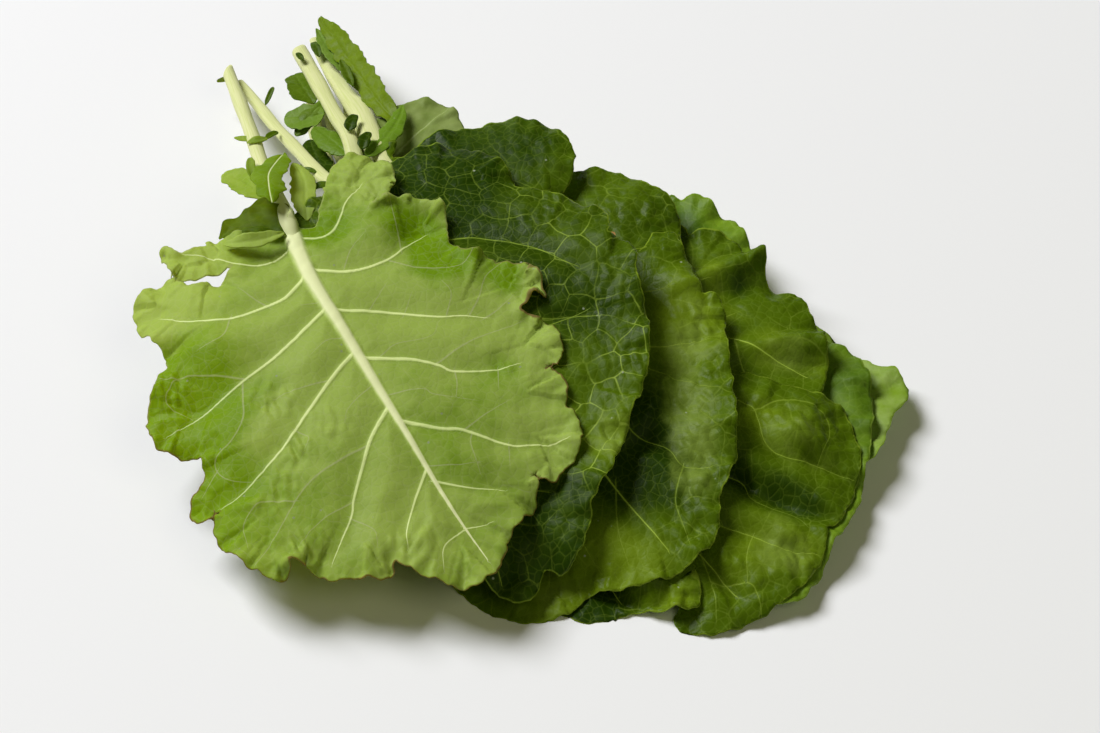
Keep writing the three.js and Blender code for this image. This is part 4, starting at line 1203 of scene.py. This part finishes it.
def add_stalk(body, leaf, midrib, lift):
    """The stalk, from its cut end to where it sinks into the midrib."""
    radius, underside = leaf["radius"], leaf["underside"]
    run_on = np.array([2, 17, 36.0])  # where along the midrib it runs on, ever deeper in the blade
    taper = np.array([1.0, 0.88, 0.7])
    sink = np.array([-0.05, -0.4, -0.9]) if underside else np.array([-0.5, -0.9, -1.1])
    zero = np.zeros(3)
    aside = np.interp(run_on, midrib[:, 0], midrib[:, 1])
    x, y = to_plan(leaf, run_on, aside)
    z = own_height(leaf, run_on, aside, zero + 20, zero, zero) + sample(lift, x, y)
    sunk = np.stack([x, y, z + sink * radius, radius * taper], axis=1)
    rows = smooth_path(np.vstack([leaf["stalk"], sunk]), 2.0)
    path, radii = rows[:, :3].copy(), rows[:, 3]
    share = np.linspace(0, 1, len(path))
    radii = radii * (1 + 0.04 * np.sin(share * 31 + leaf["phase"][0]) + 0.03 * np.sin(share * 12))
    path[:, 2] = np.maximum(path[:, 2], radii + TABLE_GAP)
    rod, faces = tube(path, radii, 0.0 if underside else STALK_GROOVE, leaf["slant"])
    cut = np.zeros(len(rod))
    cut[-2] = 1
    bare = np.ones(len(rod))
    if underside:  # its colour passes into the rib's where it runs into the blade
        fade = np.clip((1 - share) * len(path) / 12 - 1.6, 0, 1)
        bare[:-2] = np.repeat(fade, STALK_SIDES)
    turn = np.tile(np.linspace(0, 2 * np.pi, STALK_SIDES, endpoint=False), len(path))
    flat = np.zeros((len(rod), 3))
    flat[:-2, 0] = np.repeat(share, STALK_SIDES) * STALK_STREAKS[0]
    flat[:-2, 1] = turn * STALK_STREAKS[1]
    body.add(rod, faces, flat, stalk=bare, vein0=0.0, cut=cut)


# --- Materials ---
class Shader:
    """Short words for building a node material."""

    def __init__(self, name):
        self.material = bpy.data.materials.new(name)
        self.material.use_nodes = True
        self.nodes = self.material.node_tree.nodes
        self.links = self.material.node_tree.links
        self.nodes.clear()

    def node(self, kind, inputs=None, **settings):
        node = self.nodes.new(kind)
        for key, value in settings.items():
            setattr(node, key, value)
        for key, value in (inputs or {}).items():
            self.feed(node.inputs[key], value)
        return node

    def feed(self, socket, value):
        if isinstance(value, bpy.types.NodeSocket):
            self.links.new(value, socket)
        else:
            socket.default_value = value

    def math(self, operation, a, b=0.0, clamp=False):
        node = self.nodes.new("ShaderNodeMath")
        node.operation = operation
        node.use_clamp = clamp
        self.feed(node.inputs[0], a)
        self.feed(node.inputs[1], b)
        return node.outputs[0]

    def add(self, a, b):
        return self.math("ADD", a, b)

    def times(self, a, b):
        return self.math("MULTIPLY", a, b)

    def least(self, a, b):
        return self.math("MINIMUM", a, b)

    def most(self, a, b):
        return self.math("MAXIMUM", a, b)

    def varied(self, value, noise, amount, clamp=False):
        """The value, moved up and down by a noise from 0 to 1."""
        return self.math("ADD", value, self.times(self.math("SUBTRACT", noise, 0.5), amount), clamp)

    def field(self, name):
        return self.node("ShaderNodeAttribute", attribute_name=name).outputs["Fac"]

    def distance(self, name):
        """A signed distance field without its sign."""
        return self.math("ABSOLUTE", self.field(name))

    def band(self, value, low, high, out_low=0.0, out_high=1.0):
        """A smooth step from out_low at low to out_high at high."""
        node = self.node("ShaderNodeMapRange", interpolation_type="SMOOTHSTEP", inputs={
            "Value": value, "From Min": low, "From Max": high, "To Min": out_low, "To Max": out_high})
        return node.outputs["Result"]

    def mix(self, share, a, b):
        node = self.nodes.new("ShaderNodeMix")
        node.data_type = "RGBA"
        self.feed(node.inputs[0], share)
        self.feed(node.inputs[6], a if isinstance(a, bpy.types.NodeSocket) else (*a, 1))
        self.feed(node.inputs[7], b if isinstance(b, bpy.types.NodeSocket) else (*b, 1))
        return node.outputs[2]

    def noise(self, vector, scale, detail=3.0, roughness=0.55):
        return self.node("ShaderNodeTexNoise", inputs={
            "Vector": vector, "Scale": scale, "Detail": detail, "Roughness": roughness}).outputs["Fac"]

    def surface(self, shader):
        out = self.node("ShaderNodeOutputMaterial")
        self.links.new(shader.outputs[0], out.inputs["Surface"])
        return self.material


# Each tone: the blade above (a deep green that also paints shade, a fresh green, a young green that also
# paints lit parts, and a waxy grey green for wax and painted sheen) and below (a lush green that also paints
# shade, and the paler below), the veins above and below (vein, rib), the margin, and the light that comes
# through (glow). Then how strongly each of these shows: line: the veins, net: the small veins, mesh and
# cells: the finest ones and their relief, rim: the margin.
TONES = {
    "dark": dict(
        deep_and_shaded=(0.022, 0.052, 0.001), fresh=(0.088, 0.155, 0.002), young_and_lit=(0.180, 0.275, 0.008),
        waxy_and_sheen=(0.220, 0.310, 0.045), below=(0.26, 0.40, 0.07), lush_and_shaded=(0.17, 0.31, 0.02),
        vein=(0.36, 0.50, 0.06), rib=(0.46, 0.56, 0.22), margin=(0.28, 0.40, 0.03),
        glow=(0.12, 0.30, 0.004), roughness=0.36, gloss=0.13,
        line=0.8, net=0.8, cells=0.12, mesh=0.10, rim=0.8),
    "light": dict(
        deep_and_shaded=(0.080, 0.160, 0.005), fresh=(0.220, 0.360, 0.018), young_and_lit=(0.320, 0.470, 0.035),
        waxy_and_sheen=(0.36, 0.48, 0.14), below=(0.24, 0.40, 0.10), lush_and_shaded=(0.20, 0.38, 0.03),
        vein=(0.40, 0.56, 0.10), rib=(0.50, 0.60, 0.25), margin=(0.34, 0.50, 0.06),
        glow=(0.20, 0.45, 0.01), roughness=0.44, gloss=0.22,
        line=0.7, net=0.6, cells=0.1, mesh=0.08, rim=0.8),
    "grey": dict(
        deep_and_shaded=(0.120, 0.180, 0.030), fresh=(0.220, 0.310, 0.050), young_and_lit=(0.28, 0.38, 0.07),
        waxy_and_sheen=(0.32, 0.40, 0.12), below=(0.24, 0.34, 0.12), lush_and_shaded=(0.20, 0.30, 0.06),
        vein=(0.36, 0.44, 0.18), rib=(0.46, 0.56, 0.26), margin=(0.26, 0.36, 0.10),
        glow=(0.12, 0.26, 0.02), roughness=0.5, gloss=0.2,
        line=0.5, net=0.5, cells=0.05, mesh=0.05, rim=0.5),
    "pale": dict(
        deep_and_shaded=(0.030, 0.072, 0.001), fresh=(0.120, 0.220, 0.004), young_and_lit=(0.20, 0.34, 0.01),
        waxy_and_sheen=(0.22, 0.32, 0.06), below=(0.600, 0.810, 0.150), lush_and_shaded=(0.290, 0.530, 0.003),
        vein=(0.36, 0.48, 0.07), rib=(0.90, 0.91, 0.55), margin=(0.30, 0.10, 0.07),
        glow=(0.60, 0.58, 0.001), roughness=0.50, gloss=0.24,
        line=0.82, net=0.7, cells=0.1, mesh=0.10, rim=0.75),
}
PALE_RIM = (0.56, 0.66, 0.22)
SCAR = (0.50, 0.26, 0.08)
STALK = (0.66, 0.68, 0.34)
STALK_DARK = (0.48, 0.56, 0.15)
CUT_END = (0.58, 0.64, 0.28)
DUST = (0.55, 0.60, 0.45)
FINE_PITCH, FINEST_PITCH = 4.2, 1.3  # the size of the two smallest kinds of cells
GLOW_ABOVE, GLOW_BELOW = 0.25, 0.56  # the share of light that a blade lets through


class LeafPaint(Shader):
    """The look of a leaf: its blade from above and below, its stalk, its dust and its finest relief."""

    def __init__(self, name, look, underside):
        super().__init__(name)
        self.look, self.underside = look, underside
        self.flat = self.node("ShaderNodeAttribute", attribute_name="net").outputs["Vector"]
        self.place = self.node("ShaderNodeTexCoord").outputs["Object"]
        self.upper, self.on_stalk = self.field("upper"), self.field("stalk")
        self.wide_noise = self.noise(self.place, 18.0, 3.0)
        self.small_noise = self.noise(self.place, 140.0, 4.0)
        self.patchy = self.band(self.noise(self.place, 45.0, 2.0), 0.35, 0.65, 0.25, 1.0)
        # The wax, with the sheen and shade that its patches paint, varied by noise.
        bloom = self.varied(self.field("bloom"), self.wide_noise, 1.1)
        self.bloom = self.varied(bloom, self.small_noise, 0.6, clamp=True)
        self.draw_veins()
        self.draw_net()

    def draw_veins(self):
        """Where the midrib, the side veins and their branches are, and a halo beside them."""
        strength = self.look["line"]
        veins = [self.distance(f"vein{k}") for k in range(VEIN_GROUPS)]
        self.main, branch = self.least(veins[0], veins[1]), self.least(veins[2], veins[3])
        midrib = self.band(veins[0], 0.7, 1.4, strength, 0.0)
        sides = self.band(veins[1], 0.3, 2.1, 0.6 * strength, 0.0)
        branches = self.band(branch, 0.4, 2.2, 0.55 * strength, 0.0)
        self.line = self.most(self.most(midrib, sides), branches)
        self.halo = self.band(self.least(self.main, branch), 1.0, 5.0, 1.0, 0.0)

    def draw_net(self):
        """Where the net between the veins is, and the two finer ones inside its cells."""
        border = self.distance("net0")
        for k in (1, 2):
            border = self.least(border, self.distance(f"net{k}"))
        net = self.times(self.band(border, 0.10, 0.50, self.look["net"], 0.0), self.patchy)
        net = self.times(net, self.field("netting"))
        # The net shows less where the tone patches paint shade.
        self.net_line = self.times(net, self.band(self.field("fresh"), 0.0, 0.4, 0.35, 1.0))
        self.fine, self.finest = self.cell_border(FINE_PITCH), self.cell_border(FINEST_PITCH)
        self.fine_line = self.band(self.fine, 0.02, 0.10, self.look["mesh"], 0.0)

    def cell_border(self, pitch):
        """The distance to the borders of small cells, as a share of their size."""
        return self.node("ShaderNodeTexVoronoi", voronoi_dimensions="2D", feature="DISTANCE_TO_EDGE",
                         inputs={"Vector": self.flat, "Scale": 1 / pitch}).outputs["Distance"]

    def above(self):
        """Deep green, fresher beside the veins; patches paint it deeper for shade and lighter for lit parts,
        and a waxy sheen is painted in others.
        """
        look = self.look
        shade = self.varied(self.field("fresh"), self.wide_noise, 0.9)
        shade = self.varied(shade, self.small_noise, 0.35)
        shade = self.add(shade, self.times(self.halo, 0.12))
        # Painted shade and light: deep green where the tone patches paint shade, young green where they
        # paint lit parts, besides the green's own variation.
        colour = self.mix(self.band(shade, 0.0, 0.55), look["deep_and_shaded"], look["fresh"])
        colour = self.mix(self.band(shade, 0.5, 1.1), colour, look["young_and_lit"])
        # Painted sheen: the waxy grey green where the wax patches are high, together with the wax itself.
        colour = self.mix(self.band(self.bloom, 0.55, 1.05, 0.0, 0.8), colour, look["waxy_and_sheen"])
        for mask in (self.fine_line, self.net_line, self.line):
            colour = self.mix(mask, colour, look["vein"])
        return colour

    def below(self):
        """Paler, with stout ribs, whitish with wax and painted sheen in patches, and lush green where
        patches paint shade.
        """
        colour = self.mix(self.band(self.bloom, 0.1, 0.9), self.look["lush_and_shaded"], self.look["below"])
        for mask in (self.times(self.fine_line, 0.9), self.times(self.net_line, 0.6), self.line):
            colour = self.mix(mask, colour, self.look["rib"])
        return colour

    def blade(self):
        """Both sides, with a ragged rim along the margin, and brown scars."""
        colour = self.mix(self.upper, self.below(), self.above())
        ragged = self.varied(self.field("edge"), self.patchy, 0.7)
        rim = self.look["margin"]
        if self.underside:
            rim = self.mix(self.field("rust"), PALE_RIM, rim)
        colour = self.mix(self.band(ragged, 0.3, 0.8, self.look["rim"], 0.0), colour, rim)
        scarred = self.add(self.field("scar"), self.small_noise)
        return self.mix(self.band(scarred, 0.85, 1.1), colour, SCAR)

    def stalk(self):
        """Pale, streaked along its length, whitish at the cut."""
        stretch = self.node("ShaderNodeMapping", inputs={"Vector": self.flat, "Scale": (0.02, 1.0, 1.0)})
        streak = self.band(self.noise(stretch.outputs["Vector"], 1.6, 4.0), 0.4, 0.7, 0.0, 0.55)
        return self.mix(self.field("cut"), self.mix(streak, STALK, STALK_DARK), CUT_END)

    def dusted(self, colour):
        """The colour, with a few pale specks."""
        specks = self.node("ShaderNodeTexVoronoi", feature="F1",
                           inputs={"Vector": self.place, "Scale": 160.0})
        draw = self.node("ShaderNodeSeparateColor", inputs={"Color": specks.outputs["Color"]}).outputs[0]
        size = self.band(specks.outputs["Distance"], 0.05, 0.14, 0.7, 0.0)
        return self.mix(self.times(size, self.math("GREATER_THAN", draw, 0.93)), colour, DUST)

    def relief(self, solid):
        """Relief that is smaller than the mesh: the finest cells, the veins' grooves and a waxy grain."""
        cells = self.look["cells"]
        height = self.add(self.times(self.band(self.finest, 0.0, 0.3), 0.4 * cells),
                          self.times(self.band(self.fine, 0.0, 0.25), cells))
        height = self.times(height, self.math("SUBTRACT", 1.0, solid))
        groove = self.times(self.line, self.band(self.upper, 0.4, 0.6))
        height = self.add(height, self.times(groove, -0.4))
        height = self.add(height, self.times(self.small_noise, 0.12))
        bump = self.node("ShaderNodeBump", inputs={"Height": height, "Strength": 0.6, "Distance": 0.0008})
        return bump.outputs["Normal"]

    def finish(self):
        """The material: a glossy skin, with some light that comes through where the leaf is thin."""
        colour = self.dusted(self.mix(self.on_stalk, self.blade(), self.stalk()))
        solid = self.most(self.on_stalk, self.band(self.main, 0.7, 1.5, 0.8, 0.0))
        dull = self.look["roughness"]
        grain = self.add(self.wide_noise, self.times(self.small_noise, 0.4))
        skin = self.node("ShaderNodeBsdfPrincipled", inputs={
            "Base Color": colour, "Roughness": self.band(grain, 0.4, 1.0, dull - 0.08, dull + 0.14),
            "IOR": 1.4, "Specular IOR Level": self.look["gloss"], "Normal": self.relief(solid)})
        glow_colour = self.mix(0.7, colour, self.look["glow"])
        glow = self.node("ShaderNodeBsdfTranslucent", inputs={"Color": glow_colour})
        share = GLOW_BELOW if self.underside else GLOW_ABOVE
        through = self.times(self.math("SUBTRACT", 1.0, solid), share)
        return self.surface(self.node("ShaderNodeMixShader", inputs={
            0: through, 1: skin.outputs[0], 2: glow.outputs[0]}))


# --- The stage ---
def plain_material(name, colour, roughness):
    paint = Shader(name)
    return paint.surface(paint.node("ShaderNodeBsdfPrincipled", inputs={
        "Base Color": (*colour, 1), "Roughness": roughness}))


def add_floor():
    bpy.ops.mesh.primitive_plane_add(size=6.0, location=(0, 0, 0))
    floor = bpy.context.object
    floor.name = "table"
    floor.data.materials.append(plain_material("table_white", (0.88, 0.88, 0.91), 0.8))


def add_light(name, place, aim, size, power, colour):
    """A rectangular lamp that shines from place towards aim."""
    light = bpy.data.lights.new(name, "AREA")
    light.shape = "RECTANGLE"
    light.size, light.size_y = size
    light.energy = power
    light.color = colour
    lamp = bpy.data.objects.new(name, light)
    bpy.context.scene.collection.objects.link(lamp)
    lamp.location = place
    lamp.rotation_euler = (Vector(aim) - Vector(place)).to_track_quat("-Z", "Y").to_euler()


def add_camera():
    """A long lens, looking down at the bunch from the front."""
    elevation, distance = math.radians(50), 1.3
    aim = Vector((-MIDDLE[0] * MM, -MIDDLE[1] * MM, 25 * MM))
    data = bpy.data.cameras.new("camera")
    data.lens, data.sensor_width = 85, 36
    camera = bpy.data.objects.new("camera", data)
    bpy.context.scene.collection.objects.link(camera)
    camera.location = aim + Vector((0, -math.cos(elevation), math.sin(elevation))) * distance
    camera.rotation_euler = (math.pi / 2 - elevation, 0, 0)
    bpy.context.scene.camera = camera


def light_room():
    """Daylight from a window at the back left, and a weak yellowish fill from the front right."""
    scene = bpy.context.scene
    scene.view_settings.view_transform = "Standard"
    world = bpy.data.worlds.new("room")
    scene.world = world
    world.use_nodes = True
    background = world.node_tree.nodes["Background"].inputs
    background["Color"].default_value = (1.0, 1.0, 0.50, 1)
    background["Strength"].default_value = 0.055
    add_light("window", (-3.6, 2.4, 4.7), (0, 0, 0), (2.9, 2.9), 500, (0.978, 0.978, 1.0))
    add_light("fill", (1.5, -1.4, 2.4), (0.1, -0.1, 0), (1.8, 1.8), 12, (1.0, 1.0, 0.60))


def make_leaf(leaf, number, covered):
    """Builds one leaf on top of what is covered so far; returns its object and what is covered now."""
    rng = np.random.default_rng(1000 + number)
    leaf["phase"] = rng.uniform(0, 2 * np.pi, 3)
    leaf["seed"] = SEED_STEP * (number + 1)
    outline = resample(lobe_chain(leaf["outline"]), OUTLINE_STEP, closed=True)
    leaf["around"] = OUTLINE_STEP * len(outline)
    margin = Margin(toothed(outline, rng, leaf["teeth"]))
    veins = vein_set(leaf, margin, rng)
    lift, covered = stack_leaf(leaf, margin, veins, covered)
    body = Body()
    add_blade(body, leaf, margin, veins, lift)
    add_stalk(body, leaf, veins[0]["path"], lift)
    for k, leaflet in enumerate(leaf["leaflets"]):
        add_leaflet(body, leaf, k, **leaflet)
    return body.make(leaf["node"].replace("leaf", "greens", 1)), covered


def build():
    add_camera()
    light_room()
    add_floor()
    covered = np.zeros(RASTER_SIZE)
    materials = {}
    for number, table in enumerate(LEAVES):
        leaf = {**ANY_LEAF, **table}
        piece, covered = make_leaf(leaf, number, covered)
        tone = leaf["tone"]
        if tone not in materials:
            materials[tone] = LeafPaint("collard_" + tone, TONES[tone], leaf["underside"]).finish()
        piece.data.materials.append(materials[tone])
        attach(piece, "root")
        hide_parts(leaf["node"])


build()
